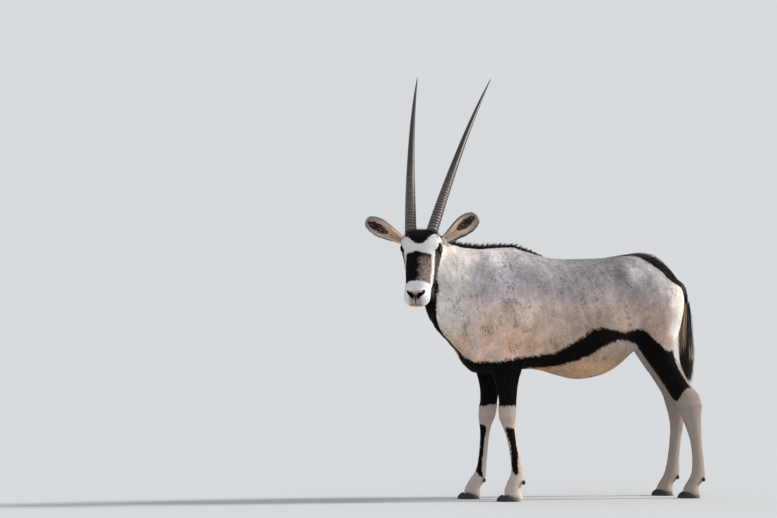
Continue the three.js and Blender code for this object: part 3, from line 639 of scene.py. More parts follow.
def face_patches(along, out, over):
    """How far inside the black of nose, crown, cheeks, eyes, nostrils and lips each place lies."""
    cheek = np.minimum(within(along, over, CHEEK), np.abs(out) - 0.03)
    face = add_patch(cheek, within(along, out, NOSE), over > -0.06)
    face = add_patch(face, within(along, out, CROWN), over > -0.16)
    for hand in (1, -1):
        eye_ring = 0.0225 - np.hypot((along - 0.07) * 0.85, over + 0.055)
        face = add_patch(face, eye_ring, out * hand > 0.05)
        slit_along, slit_across = on_nostril(along, out, hand, 0.026)
        slit = np.hypot(slit_along * 0.38, slit_across * (1 - 14 * slit_along))
        face = add_patch(face, CRISP * (0.0096 - slit), over > -0.07)
    septum = CRISP * np.minimum(0.0018 - np.abs(out), np.minimum(along - 0.335, over + 0.05))
    lip_line = CRISP * (0.0018 - np.abs(over - lips_at(along, out)))
    face = np.maximum(face, septum)
    return add_patch(face, lip_line, (along > 0.262) & (np.abs(out) < 0.06)), cheek


def nose_tones(ground, along, out, over, head):
    """The ground colour with the bare nose, the bridge between the nostrils, lips and chin."""
    apart = np.abs(out)
    lips = lips_at(along, out)
    nose = soft_step(along, 0.3, 0.318) * soft_step(apart, 0.04, 0.022) * soft_step(over, -0.075, -0.065)
    ground = cover(ground, NOSE_GREY, nose * head * 0.9)
    bridge = bump(along - 0.335, 0.013) * soft_step(apart, 0.024, 0.013) * (over > -0.05)
    ground = cover(ground, NOSE_DARK, bridge * head * 0.95)
    ground = cover(ground, LIP_PINK, bump(over - lips, 0.011) * soft_step(along, 0.335, 0.352) * head * 0.8)
    chin = soft_step(over, lips - 0.004, lips - 0.02) * soft_step(along, 0.3, 0.345)
    return cover(ground, CHIN_TAN, chin * head * 0.6)


def ear_tones(share, width, half):
    """The colour inside an ear, and how far each place lies inside its dark streaks."""
    inside = np.tile(np.array(EAR_INSIDE), (len(share), 1))
    inside = cover(inside, EAR_TAN, bump(share - 0.38, 0.16) * bump(width, 0.02))
    inside = cover(inside, EAR_TIP, soft_step(share, 0.55, 0.95) * 0.8)
    inside = cover(inside, EAR_EDGE, soft_step(np.abs(width), half * 0.7, half * 0.95))
    fan = width / np.maximum(0.25 + share, 0.3)
    streaks = 0.0047 - np.abs(np.mod(fan + 0.0195, 0.013) - 0.0065) + 0.0022 * bump(share - 0.74, 0.1)
    patch = 0.019 * np.sqrt(np.clip(1 - ((share - 0.67) / 0.23) ** 2, 0, 1)) - np.abs(width - 0.004)
    inside = cover(inside, EAR_PATCH, soft_step(patch, -0.004, 0.006) * 0.8)
    return inside, np.minimum(streaks, patch)


def markings(places, normals):
    """How far inside a black patch each place lies, its ground colour, dark colour and mottling."""
    x, y, z = places.T
    along, out, over = on_head(places).T
    apart = np.abs(y - MIDDLE)
    head = of_head(places)
    ground, legs, patchy = body_tones(x, z)
    mottled = 1 - np.maximum(legs, head * 1.0)
    mottled *= 1 - 0.6 * soft_step(x, 0.6, 0.68)

    black = side_patches(x, y, z, normals[:, 1])
    croup = np.interp(x, CROUP_ALONG, CROUP_HALF) - apart
    black = add_patch(black, croup, (z > 0.93) & (x > 0.41))
    croup_edge = bump(croup + 0.03, 0.024) * soft_step(z, 0.93, 0.98) * soft_step(x, 0.42, 0.46)
    ground = cover(ground, PALE_AND_SUNLIT, croup_edge * patchy * 0.75)
    dock = np.minimum(np.minimum(x - 0.742, 0.99 - z), 0.03 - apart)
    black = add_patch(black, dock, z > 0.66)
    throat = np.interp(z, THROAT_UP, THROAT_HALF) - np.abs(y - np.interp(z, THROAT_MIDDLE_UP, THROAT_MIDDLE))
    front = x < np.interp(z, THROAT_FRONT_UP, THROAT_FRONT)
    black = add_patch(black, throat, front & ~head & (z > 0.6))
    mane = 0.012 - np.hypot(y - np.interp(x, crest_x, crest_y), z - np.interp(x, crest_x, crest_z))
    black = add_patch(black, mane, (x > -0.47) & (x < 0.0))

    face, cheek = face_patches(along, out, over)
    black = np.where(head, face, black)
    ground = np.where(head[:, None], np.array(FACE_WHITE), ground)
    ground = cover(ground, FAWN, soft_step(over, -0.07, -0.1) * soft_step(along, 0.14, 0.06) * head)
    ground = nose_tones(ground, along, out, over, head)
    dark = np.tile(np.array(SOFT_BLACK), (len(places), 1))
    wander = 0.005 * np.sin(along * 130) + 0.004 * np.sin(along * 310 + out * 90)
    # The black of the nose patch is brown-grey over its half on the animal's left.
    brown_half = soft_step(out + wander, -0.006, 0.024) * soft_step(along, 0.112, 0.16)
    dark = cover(dark, NOSE_BROWN, brown_half * (over > -0.06) * (along < 0.3) * head * 0.85)
    dark = cover(dark, CHEEK_BROWN, soft_step(cheek, 0.002, 0.009) * (along > 0.095) * head * 0.3)
    on_jaw = soft_step(y, -0.222, -0.24) * soft_step(z, 0.93, 0.99) * (x < -0.45) * ~head
    dark = cover(dark, JAW_BROWN, on_jaw * soft_step(throat, 0.002, 0.012) * 0.8)

    for root, line, opens, across in ear_frames.values():
        share = (places - root) @ line / EAR_LENGTH
        width = (places - root) @ across
        lift = (places - root) @ opens
        half = np.interp(share, EAR_SHARES, EAR_HALF)
        of_ear = (share > 0.1) & (share < 1.1) & (np.abs(width) < 0.065) & (np.abs(lift) < 0.06) & (z > 1.2)
        inner = of_ear & (normals @ opens > 0.1) & (np.abs(width) < half * 0.93)
        inside, streaks = ear_tones(share, width, half)
        ground[of_ear] = EAR_BACK
        ground[inner] = inside[inner]
        rim = np.maximum(np.abs(width) - half * 0.95, (share - 0.975) * EAR_LENGTH)
        black = np.where(of_ear, np.where(inner, np.maximum(streaks, rim), rim), black)
        dark[of_ear] = EAR_BLACK
        mottled[of_ear] = 0.2
    return np.clip(black, -0.05, 0.05), ground, dark, mottled


def write_colours(piece, name, colours, repeat=1):
    """Stores one colour for each place, repeated for every corner of the tuft that grows there."""
    layer = piece.data.color_attributes.new(name, "FLOAT_COLOR", "POINT")
    rows = np.repeat(np.column_stack([colours, np.ones(len(colours))]), repeat, axis=0)
    layer.data.foreach_set("color", rows.ravel())


def write_markings(piece, places, normals, repeat, shade):
    black, ground, dark, mottled = markings(places, normals)
    for name, values in (("black", black), ("mottled", mottled)):
        layer = piece.data.attributes.new(name, "FLOAT", "POINT")
        layer.data.foreach_set("value", np.repeat(values, repeat))
    for name, colours in (("ground", ground), ("dark", dark)):
        write_colours(piece, name, colours * shade[:, None], repeat)


spots = vectors(skin, "co")
write_markings(skin, spots, vectors(skin, "normal"), 1, np.ones(len(spots)))

# Hide finish, shared by skin and fur: the ground colour mottled and flecked, with the black
# patches laid over it, their borders broken by the hairs. The grain is drawn out downwards.
def node(tree, kind, settings=None, slots=None, **sockets):
    """A new shader node. A socket takes a value, or a link where an output is given."""
    made = tree.nodes.new(kind)
    for key, value in (settings or {}).items():
        setattr(made, key, value)
    named = {key.replace("_", " "): value for key, value in sockets.items()}
    for key, value in {**named, **(slots or {})}.items():
        if isinstance(value, bpy.types.NodeSocket):
            tree.links.new(value, made.inputs[key])
        else:
            made.inputs[key].default_value = value
    return made


def noise(tree, vector, scale, detail, roughness=0.5):
    settings = {"Vector": vector, "Scale": scale, "Detail": detail, "Roughness": roughness}
    return node(tree, "ShaderNodeTexNoise", slots=settings).outputs["Fac"]


def ranged(tree, value, low, high, at_low, at_high, kind="LINEAR"):
    """A value carried over from one range to another."""
    slots = {"Value": value, "From Min": low, "From Max": high, "To Min": at_low, "To Max": at_high}
    return node(tree, "ShaderNodeMapRange", {"interpolation_type": kind}, slots).outputs["Result"]


def calculated(tree, operation, *values):
    return node(tree, "ShaderNodeMath", {"operation": operation}, dict(enumerate(values))).outputs[0]


def blended(tree, share, first, second):
    """Two colours mixed by a share of the second."""
    return node(tree, "ShaderNodeMix", {"data_type": "RGBA"}, {0: share, 6: first, 7: second}).outputs[2]


def scaled(tree, colour, factor):
    slots = {0: colour, "Scale": factor}
    return node(tree, "ShaderNodeVectorMath", {"operation": "SCALE"}, slots).outputs[0]


def attribute(tree, name, output):
    return node(tree, "ShaderNodeAttribute", {"attribute_name": name}).outputs[output]


def stretched(tree, scale):
    """Object coordinates with the pattern drawn out along the axes."""
    where = node(tree, "ShaderNodeTexCoord").outputs["Object"]
    return node(tree, "ShaderNodeMapping", Vector=where, Scale=scale).outputs["Vector"]


def finish_with(tree, shader, colour, height, strength, distance):
    """Gives the shader its colour, and the fine relief that follows a height."""
    relief = node(tree, "ShaderNodeBump", Height=height, Strength=strength, Distance=distance)
    tree.links.new(colour, shader.inputs["Base Color"])
    tree.links.new(relief.outputs["Normal"], shader.inputs["Normal"])


hide_tone = bpy.data.node_groups.new("hide_tone", "ShaderNodeTree")
for name, kind in (("Ground", "Color"), ("Dark", "Color"), ("Black", "Float"), ("Mottled", "Float")):
    hide_tone.interface.new_socket(name, in_out="INPUT", socket_type="NodeSocket" + kind)
hide_tone.interface.new_socket("Colour", in_out="OUTPUT", socket_type="NodeSocketColor")
hide_tone.interface.new_socket("Height", in_out="OUTPUT", socket_type="NodeSocketFloat")
tree = hide_tone
came = node(tree, "NodeGroupInput").outputs
where = stretched(tree, (1.0, 1.0, 0.7))
cloud = noise(tree, where, 15.0, 6.0, 0.72)
fleck = noise(tree, where, 115.0, 3.0, 0.7)
clusters = noise(tree, where, 22.0, 2.0)
hairs = noise(tree, where, 420.0, 2.0, 0.6)
ragged = noise(tree, where, 130.0, 2.0, 0.6)
flecks = ranged(tree, calculated(tree, "MULTIPLY_ADD", clusters, 0.7, fleck), 0.93, 1.06, 1.0, 0.52)
tone = calculated(tree, "MULTIPLY", ranged(tree, cloud, 0.34, 0.66, 0.72, 1.22), flecks)
slots = {0: came["Mottled"], 2: 1.0, 3: tone}
strength = node(tree, "ShaderNodeMix", {"data_type": "FLOAT"}, slots).outputs[0]
shade = calculated(tree, "MULTIPLY", strength, ranged(tree, hairs, 0.3, 0.7, 0.86, 1.1))
edge = calculated(tree, "ADD", came["Black"], ranged(tree, ragged, 0.3, 0.7, -0.003, 0.003))
mask = ranged(tree, edge, -0.002, 0.002, 0.0, 1.0, "SMOOTHSTEP")
darkened = scaled(tree, came["Dark"], ranged(tree, ragged, 0.35, 0.65, 0.45, 1.35))
colour = blended(tree, mask, scaled(tree, came["Ground"], shade), darkened)
node(tree, "NodeGroupOutput", Colour=colour, Height=hairs)


def hide_finish(name, roughness, relief):
    finish, tree, shader = new_finish(name, Roughness=roughness, Specular_IOR_Level=0.08)
    tone = node(tree, "ShaderNodeGroup", {"node_tree": hide_tone})
    for key, output in (("Ground", "Color"), ("Dark", "Color"), ("Black", "Fac"), ("Mottled", "Fac")):
        tree.links.new(attribute(tree, key.lower(), output), tone.inputs[key])
    finish_with(tree, shader, tone.outputs["Colour"], tone.outputs["Height"], relief, 0.002)
    return finish


skin.data.materials.append(hide_finish("short_hide", 0.8, 0.5))
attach(skin, "root")
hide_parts(*FLESH, *EARS)

# Short coat: tufts two to three millimetres wide and one or two centimetres long that lie back
# and down over the hide, shorter on the head and the legs, coloured like the skin under them.
COAT_SEED = 4127
TUFT_LENGTH = 0.017
TUFT_LIFT = 0.0026
TUFT_WIDTH = 0.0026
TUFT_PATCH = 0.003
ROOT_DEPTH = 0.0005
EARS_ABOVE = 1.24
COATS = {
    "coat_trunk_left": 46000,
    "coat_trunk_right": 46000,
    "coat_neck": 36000,
    "coat_head": 40000,
    "coat_legs": 48000,
}
# Places on the body, each with the way that the hair lies there.
LIE = [
    ((-0.60, -0.25, 1.15), (0.72, 0.25, -0.55)),
    ((-0.45, -0.18, 1.05), (0.75, 0.12, -0.65)),
    ((-0.45, -0.18, 0.85), (0.6, 0.1, -0.8)),
    ((-0.2, -0.165, 1.15), (0.95, 0.0, -0.3)),
    ((-0.2, -0.165, 0.85), (0.6, 0.0, -0.8)),
    ((0.1, -0.165, 1.1), (0.98, 0.0, -0.2)),
    ((0.1, -0.165, 0.8), (0.8, 0.0, -0.6)),
    ((0.45, -0.165, 1.1), (0.9, 0.0, -0.4)),
    ((0.45, -0.165, 0.8), (0.5, 0.0, -0.85)),
    ((0.7, -0.165, 0.95), (0.2, 0.0, -0.98)),
    ((0.6, -0.165, 0.55), (0.15, 0.0, -1.0)),
    ((0.65, -0.165, 0.2), (0.0, 0.0, -1.0)),
    ((-0.2, -0.165, 0.5), (0.0, 0.0, -1.0)),
    ((-0.2, -0.165, 0.2), (0.0, 0.0, -1.0)),
]


def lie_of(places):
    """The way the hair points at each place."""
    total = np.zeros_like(places)
    for middle, way in LIE:
        near = 1 / (((places - middle) ** 2).sum(1) + 0.004) ** 1.5
        total += near[:, None] * np.array(way)
    on_face = of_head(places) & (on_head(places)[:, 0] > -0.02)
    total[on_face] = -AHEAD * 0.9 - OVER * 0.3
    for root, line, *_ in ear_frames.values():
        share = (places - root) @ line / EAR_LENGTH
        off = np.linalg.norm(places - root - (share * EAR_LENGTH)[:, None] * line, axis=1)
        total[(share > 0.1) & (off < 0.07)] = line
    return total


def corners_of(piece):
    """Triangles of a piece as places, normals and unwrapped places, one row of three for each."""
    piece.data.calc_loop_triangles()
    count = len(piece.data.loop_triangles)
    spots = np.empty(count * 3, int)
    loops = np.empty(count * 3, int)
    piece.data.loop_triangles.foreach_get("vertices", spots)
    piece.data.loop_triangles.foreach_get("loops", loops)
    flat = np.empty(len(piece.data.loops) * 2)
    piece.data.uv_layers["OFBake"].data.foreach_get("uv", flat)
    places = vectors(piece, "co")[spots].reshape(-1, 3, 3)
    normals = vectors(piece, "normal")[spots].reshape(-1, 3, 3)
    return places, normals, flat.reshape(-1, 2)[loops].reshape(-1, 3, 2)


def scatter(rng, triangles, weight, count):
    """Places, normals and unwrapped places of count roots, spread over the triangles by weight."""
    places, normals, flat = triangles
    corners = np.cross(places[:, 1] - places[:, 0], places[:, 2] - places[:, 0])
    area = np.linalg.norm(corners, axis=1) * weight
    pick = rng.choice(len(area), count, p=area / area.sum())
    first = np.sqrt(rng.random(count))
    second = rng.random(count)
    parts = np.stack([1 - first, first * (1 - second), first * second], 1)[:, :, None]
    normal = unit((normals[pick] * parts).sum(1))
    return (places[pick] * parts).sum(1), normal, (flat[pick] * parts).sum(1)


def along_hide(way, normal):
    """The direction laid flat on the hide."""
    return unit(way - (way * normal).sum(1)[:, None] * normal)


def blades(name, lines, across, widths, patches):
    """One mesh of thin hair blades. Each line runs from root to tip, and its last place is a point."""
    count, steps, _ = lines.shape
    rows = []
    for step in range(steps - 1):
        half = across * (widths * (1 - 0.75 * (step / (steps - 1)) ** 1.6) / 2)[:, None]
        rows += [lines[:, step] - half, lines[:, step] + half]
    spots = np.stack(rows + [lines[:, -1]], 1)
    each = spots.shape[1]
    faces = []
    for step in range(steps - 2):
        a = 2 * step
        faces += [(a, a + 1, a + 3), (a, a + 3, a + 2)]
    faces.append((each - 3, each - 2, each - 1))
    faces = np.array(faces)
    index = (np.arange(count) * each)[:, None, None] + faces[None]
    mesh = bpy.data.meshes.new(name)
    mesh.vertices.add(count * each)
    mesh.vertices.foreach_set("co", spots.ravel())
    mesh.loops.add(index.size)
    mesh.loops.foreach_set("vertex_index", index.ravel())
    mesh.polygons.add(index.size // 3)
    mesh.polygons.foreach_set("loop_start", np.arange(0, index.size, 3))
    mesh.polygons.foreach_set("use_smooth", np.ones(index.size // 3, bool))
    mesh.update(calc_edges=True)
    level = (np.arange(each) // 2) / (steps - 1)
    side = np.where(np.arange(each) % 2 == 0, -0.4, 0.4)
    side[-1] = 0
    offset = np.stack([side, level - 0.5], 1) * TUFT_PATCH
    flat = patches[:, None, :] + offset[None]
    layer = mesh.uv_layers.new(name="OFBake")
    layer.data.foreach_set("uv", flat.reshape(-1, 2)[index.ravel()].ravel())
    piece = bpy.data.objects.new(name, mesh)
    bpy.context.scene.collection.objects.link(piece)
    return piece, each


rng = np.random.default_rng(COAT_SEED)
triangles = corners_of(skin)
middles = triangles[0].mean(1)
along, out, over = on_head(middles).T
in_face = of_head(middles) | (middles[:, 2] > EARS_ABOVE)
in_neck = (middles[:, 0] < -0.3) & (middles[:, 2] > 0.7) & ~in_face
in_legs = (middles[:, 2] < 0.6) & ((middles[:, 0] < 0.0) | (middles[:, 0] > 0.5))
in_trunk = ~(in_face | in_neck | in_legs)
regions = {
    "coat_trunk_left": in_trunk & (middles[:, 1] < MIDDLE),
    "coat_trunk_right": in_trunk & (middles[:, 1] >= MIDDLE),
    "coat_neck": in_neck,
    "coat_head": in_face,
    "coat_legs": in_legs,
}
eye_bare = np.hypot(along - EYE_PLACE[0], over - EYE_PLACE[2]) < 0.026
nose_bare = (along > 0.305) & (np.abs(out) < 0.05) & (over > -0.07)
nose_bare |= np.hypot(0.6 * (along - 0.315), np.abs(out) - 0.035) < 0.014
hoof_bare = middles[:, 2] < 0.05
mouth_bare = (along > 0.25) & (np.abs(over - lips_at(along, out)) < 0.006)
bare = (eye_bare & (np.abs(out) > 0.05)) | nose_bare | hoof_bare | mouth_bare
coat_finish = hide_finish("fur", 0.75, 0.2)
for name, count in COATS.items():
    weight = regions[name] * (~bare)
    if name == "coat_head":
        weight = weight * np.where(middles[:, 2] > EARS_ABOVE, 1.4, 1.0)
    place, normal, patch = scatter(rng, triangles, weight, count)
    way = along_hide(lie_of(place) + 0.12 * rng.normal(size=place.shape), normal)
    length = np.full(count, TUFT_LENGTH)
    lift = np.full(count, TUFT_LIFT)
    width = np.full(count, TUFT_WIDTH)
    low = np.clip((place[:, 2] - 0.1) / 0.5, 0.35, 1)
    if name == "coat_legs":
        length, lift, width = length * low * 0.8, lift * low * 0.6, width * 0.75
    if name == "coat_head":
        length, lift, width = length * 0.42, lift * 0.42, width * 0.5
    length = length * rng.uniform(0.7, 1.3, count)
    lift = lift * rng.uniform(0.4, 1.15, count)
    middle = place + way * (length * 0.45)[:, None] + normal * lift[:, None]
    tip = place + way * length[:, None] + normal * (lift * rng.uniform(0.2, 1.1, count))[:, None]
    lines = np.stack([place - normal * ROOT_DEPTH, middle, tip], 1)
    coat, each = blades(name, lines, np.cross(normal, way), width, patch)
    write_markings(coat, place, normal, each, rng.uniform(0.84, 1.14, count))
    coat.data.materials.append(coat_finish)
    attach(coat, "root")

# Mane: short stiff black hair that stands along the crest from behind the ears to the withers.
# It grows in small clumps that lean a little back, each blade rooted under the hide.
MANE_HAIRS = 3800
MANE_SEED = 311
MANE_ALONG = (-0.49, -0.45, -0.40, -0.25, -0.11, -0.04, 0.03)
MANE_HEIGHT = (0.018, 0.026, 0.026, 0.024, 0.021, 0.015, 0.003)
MANE_HALF = 0.011
MANE_CLUMP = 0.011
MANE_ROOT = 0.006
MANE_WIDTH = 0.0022
MANE_BLACK = (0.018, 0.013, 0.011)
rng = np.random.default_rng(MANE_SEED)
x = rng.uniform(-0.487, 0.028, MANE_HAIRS)
clump = np.round(x / MANE_CLUMP) * MANE_CLUMP
x = x + 0.45 * (clump - x)
off = rng.normal(0, 0.45, MANE_HAIRS).clip(-1, 1) * MANE_HALF
crest_top = np.interp(x, crest_x, crest_z) - off**2 / CREST_CURVE
root = np.stack([x, np.interp(x, crest_x, crest_y) + off, crest_top - MANE_ROOT], 1)
height = np.interp(x, MANE_ALONG, MANE_HEIGHT) * rng.uniform(0.45, 1.15, MANE_HAIRS)
height = height * (1.05 - 0.25 * np.abs(off) / MANE_HALF)
height = height * (1 + 0.28 * np.sin(clump * 900)) + MANE_ROOT
lean = 0.25 + 0.3 * np.sin(clump * 1700) + 0.18 * rng.normal(size=MANE_HAIRS)
sideways = off / MANE_HALF * 0.18 + 0.08 * rng.normal(size=MANE_HAIRS)
way = unit(np.stack([lean, sideways, np.ones(MANE_HAIRS)], 1))
bend = np.array((0.22, 0, -0.06)) * height[:, None]
middle = root + way * height[:, None] * 0.55
lines = np.stack([root, middle, root + way * height[:, None] + bend * 0.8], 1)
turn = rng.uniform(0, math.pi, MANE_HAIRS)
across = np.stack([np.cos(turn), np.sin(turn), np.zeros(MANE_HAIRS)], 1)
skin_tree = BVHTree.FromObject(skin, bpy.context.evaluated_depsgraph_get())


def patches_at(places):
    """Unwrapped places of the skin next to the given ones."""
    found = [skin_tree.find_nearest(Vector(place))[2] for place in places]
    polygons = np.empty(len(skin.data.loop_triangles), int)
    skin.data.loop_triangles.foreach_get("polygon_index", polygons)
    first = np.zeros(polygons.max() + 1, int)
    first[polygons] = np.arange(len(polygons))
    return triangles[2][first[found]].mean(1)


mane, each = blades("mane", lines, across, np.full(MANE_HAIRS, MANE_WIDTH), patches_at(root))
long_hair, tree, shader = new_finish("long_hair", Roughness=0.5, Specular_IOR_Level=0.4)
tree.links.new(attribute(tree, "strand", "Color"), shader.inputs["Base Color"])


def write_strands(piece, colours, each):
    write_colours(piece, "strand", colours, each)
    piece.data.materials.append(long_hair)


shade = rng.uniform(0.5, 1.8, MANE_HAIRS)[:, None]
write_strands(mane, np.array(MANE_BLACK) * shade, each)
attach(mane, "root")

# Tail brush: long coarse hair growing round the lower half of the dock and hanging down to the
# hocks, black with brown strands in front and a pale lock behind.
BRUSH_HAIRS = 5200
BRUSH_SEED = 77
BRUSH_UP = (0.53, 0.57, 0.62, 0.68, 0.72, 0.77, 0.81, 0.88)
BRUSH_FRONT = (0.006, 0.02, 0.034, 0.042, 0.044, 0.032, 0.024, 0.01)
LOCK_UP = (0.53, 0.57, 0.62, 0.66, 0.7, 0.74, 0.88)
LOCK_BEHIND = (0.025, 0.033, 0.034, 0.044, 0.03, 0.008, 0.003)
BRUSH_WIDTH = 0.0019
STRAND_BLACK = (0.012, 0.009, 0.008)
STRAND_BROWN = (0.52, 0.37, 0.26)
STRAND_PALE = (0.78, 0.64, 0.46)


def on_dock(levels, outward):
    """Places at the given levels on the line of the dock, moved outwards."""
    line = np.column_stack([np.full(BRUSH_HAIRS, DOCK_AT), np.full(BRUSH_HAIRS, MIDDLE), levels])
    return line + outward


rng = np.random.default_rng(BRUSH_SEED)
angle = rng.uniform(0, 2 * math.pi, BRUSH_HAIRS)
start = 0.93 - 0.21 * rng.random(BRUSH_HAIRS) ** 0.7
dock = np.interp(start, (0.7, 0.9), (0.0065, 0.0125))
tail_out = np.stack([np.cos(angle), np.sin(angle), np.zeros(BRUSH_HAIRS)], 1)
root = on_dock(start, tail_out * dock[:, None] * 0.9)
end = np.maximum(start - rng.uniform(0.12, 0.27, BRUSH_HAIRS), 0.53 + 0.12 * rng.random(BRUSH_HAIRS) ** 1.6)
end = np.minimum(end, start - 0.06)
ahead = soft_step(-tail_out[:, 0], -0.5, 0.8)
swell = np.interp(end, BRUSH_UP, BRUSH_FRONT)
behind = np.interp(end, LOCK_UP, LOCK_BEHIND)
reach = (swell * ahead + behind * (1 - ahead)) * np.sqrt(rng.random(BRUSH_HAIRS))
wave = 0.003 * rng.normal(size=(BRUSH_HAIRS, 3)) * (1, 1, 0)
tip = on_dock(end, tail_out * reach[:, None]) + wave
lines = []
for share in (0, 0.2, 0.45, 0.72, 1):
    belly = 4 * share * (1 - share) * (0.002 + 0.008 * ahead)
    spot = root * (1 - share) + tip * share + tail_out * belly[:, None]
    lines.append(spot + wave * math.sin(share * 6) * 0.7)
turn = angle + math.pi / 2 + 0.7 * rng.normal(size=BRUSH_HAIRS)
across = np.stack([np.cos(turn), np.sin(turn), np.zeros(BRUSH_HAIRS)], 1)
width = np.full(BRUSH_HAIRS, BRUSH_WIDTH)
brush, each = blades("tail_brush", np.stack(lines, 1), across, width, patches_at(root))
colour = np.tile(STRAND_BLACK, (BRUSH_HAIRS, 1)) * rng.uniform(0.6, 2.0, BRUSH_HAIRS)[:, None]
tan = (tail_out[:, 0] < -0.45) & (end > 0.66) & (rng.random(BRUSH_HAIRS) < 0.85)
pale = (tail_out[:, 0] > 0.0) & (end > 0.635) & (end < 0.71) & (start < 0.84)
pale &= rng.random(BRUSH_HAIRS) < 0.9
colour[tan] = np.array(STRAND_BROWN) * rng.uniform(0.5, 1.3, tan.sum())[:, None]
colour[pale] = np.array(STRAND_PALE) * rng.uniform(0.6, 1.2, pale.sum())[:, None]
write_strands(brush, colour, each)
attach(brush, "root")

# Croup tuft: longer black hair that lies back along the croup and stands up over the tail head.
# Its blades are rooted under the hide, and are longest over the middle of the croup.
TUFT_HAIRS = 2600
TUFT_SEED = 58
CROUP_ROOTS = (0.4, 0.5, 0.65, 0.76)
CROUP_SPREAD = (0.012, 0.05, 0.05, 0.025)
STAND_ALONG = (0.4, 0.48, 0.56, 0.61, 0.64, 0.74)
STAND = (0.1, 0.35, 0.5, 0.3, 0.06, 0.03)
LENGTH_ALONG = (0.4, 0.48, 0.56, 0.62, 0.7, 0.76)
CROUP_LENGTH = (0.012, 0.026, 0.036, 0.034, 0.024, 0.02)
CROUP_WIDTH = 0.0024
CROUP_BLACK = (0.018, 0.012, 0.01)
rng = np.random.default_rng(TUFT_SEED)
on_croup = (middles[:, 0] > 0.4) & (middles[:, 0] < 0.76) & (middles[:, 2] > 0.97)
spread = np.interp(middles[:, 0], CROUP_ROOTS, CROUP_SPREAD)
weight = on_croup * bump(middles[:, 1] - MIDDLE, spread)
root, normal, patch = scatter(rng, triangles, weight, TUFT_HAIRS)
way = along_hide(lie_of(root) + 0.16 * rng.normal(size=root.shape), normal)
stand = np.interp(root[:, 0], STAND_ALONG, STAND)
length = np.interp(root[:, 0], LENGTH_ALONG, CROUP_LENGTH) * rng.uniform(0.6, 1.15, TUFT_HAIRS)
rise = normal * (stand * length * rng.uniform(0.2, 1.0, TUFT_HAIRS))[:, None]
middle = root + way * (length * 0.5)[:, None] + rise * 0.7 + normal * 0.002
tip = root + way * length[:, None] + rise
lines = np.stack([root - normal * ROOT_DEPTH, middle, tip], 1)
tuft, each = blades("croup_tuft", lines, np.cross(normal, way), np.full(TUFT_HAIRS, CROUP_WIDTH), patch)
shade = rng.uniform(0.5, 1.8, TUFT_HAIRS)[:, None]
write_strands(tuft, np.array(CROUP_BLACK) * shade, each)
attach(tuft, "root")

# Forelock: short black hair that stands up round the foot of the horns and between them,
# rooted under the hide of the brow and shorter towards the face.
LOCK_HAIRS = 1800
LOCK_SEED = 90
LOCK_WIDTH = 0.0018
LOCK_BLACK = (0.014, 0.01, 0.009)
rng = np.random.default_rng(LOCK_SEED)
along, out, over = on_head(middles).T
weight = (np.abs(out) < 0.085) * (along < 0.045) * (along > -0.05) * (over > -0.07) * of_head(middles)
root, normal, patch = scatter(rng, triangles, weight, LOCK_HAIRS)
way = unit(-AHEAD * 0.8 + normal * 0.9 + 0.3 * rng.normal(size=root.shape))
length = rng.uniform(0.004, 0.011, LOCK_HAIRS) * soft_step(on_head(root)[:, 0], 0.05, 0.01)
middle = root + way * (length * 0.5)[:, None]
lines = np.stack([root - normal * ROOT_DEPTH, middle, root + (way - AHEAD * 0.3) * length[:, None]], 1)
forelock, each = blades("forelock", lines, np.cross(normal, way), np.full(LOCK_HAIRS, LOCK_WIDTH), patch)
shade = rng.uniform(0.4, 1.6, LOCK_HAIRS)[:, None]
write_strands(forelock, np.array(LOCK_BLACK) * shade, each)
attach(forelock, "root")

# Horns: long, nearly straight sheaths of keratin that lean back and apart, with close raised
# rings over the lower two fifths and a smooth upper part.
HORN_ROOT = (0.0, 0.049, -0.025)
HORN_LENGTH = 0.986
HORN_RADIUS = 0.025
HORN_LEAN = math.radians(40.5)
HORN_BOW = 0.06
HORN_TIP = 0.0014
HORN_RINGS = 27
SMOOTH_STATIONS = 25
RINGED = 0.38
RIDGE_HEIGHT = 0.0019
HORN_SIDES = 18
HORNS = {
    "horn_left": (1, math.radians(10.5), 0.008),
    "horn_right": (-1, math.radians(4.6), -0.005),
}


def horn_axis(hand, spread, side_bow, share):
    """The place on the middle line of a horn at a share of its length."""
    chord = UPRIGHT * math.cos(HORN_LEAN) * math.cos(spread)
    chord = chord - LEVEL * math.sin(HORN_LEAN) * math.cos(spread) + LEFT * hand * math.sin(spread)
    forward = LEVEL * math.cos(HORN_LEAN) + UPRIGHT * math.sin(HORN_LEAN)
    root = off_head(np.array([HORN_ROOT[0], hand * HORN_ROOT[1], HORN_ROOT[2]]))
    bow = 4 * share * (1 - share)
    return root + chord * HORN_LENGTH * share + forward * HORN_BOW * bow + LEFT * side_bow * bow


def horn_stations():
    """Shares of the length with the height of the ridge there: four for each ring, then the smooth part."""
    stations = []
    for ring in range(HORN_RINGS):
        start = RINGED * (ring / HORN_RINGS) ** 0.93
        step = RINGED * ((ring + 1) / HORN_RINGS) ** 0.93 - start
        height = RIDGE_HEIGHT * (1 - 0.95 * (ring / HORN_RINGS) ** 2.5) * (1 + 0.25 * math.sin(ring * 2.3))
        for part, rise in ((0.0, 0.1), (0.3, 0.25), (0.55, 1.0), (0.8, 0.9)):
            stations.append((start + part * step, height * rise))
    for station in range(SMOOTH_STATIONS):
        share = (station / (SMOOTH_STATIONS - 1)) ** 0.9
        stations.append((RINGED + (1 - RINGED) * share, 0.0))
    return stations


horn_finish, tree, shader = new_finish("horn_sheath", Roughness=0.42, Specular_IOR_Level=0.35)
grain = noise(tree, node(tree, "ShaderNodeTexCoord").outputs["Object"], 60.0, 5.0, 0.6)
sheath = blended(tree, grain, (0.006, 0.005, 0.005, 1), (0.045, 0.038, 0.036, 1))
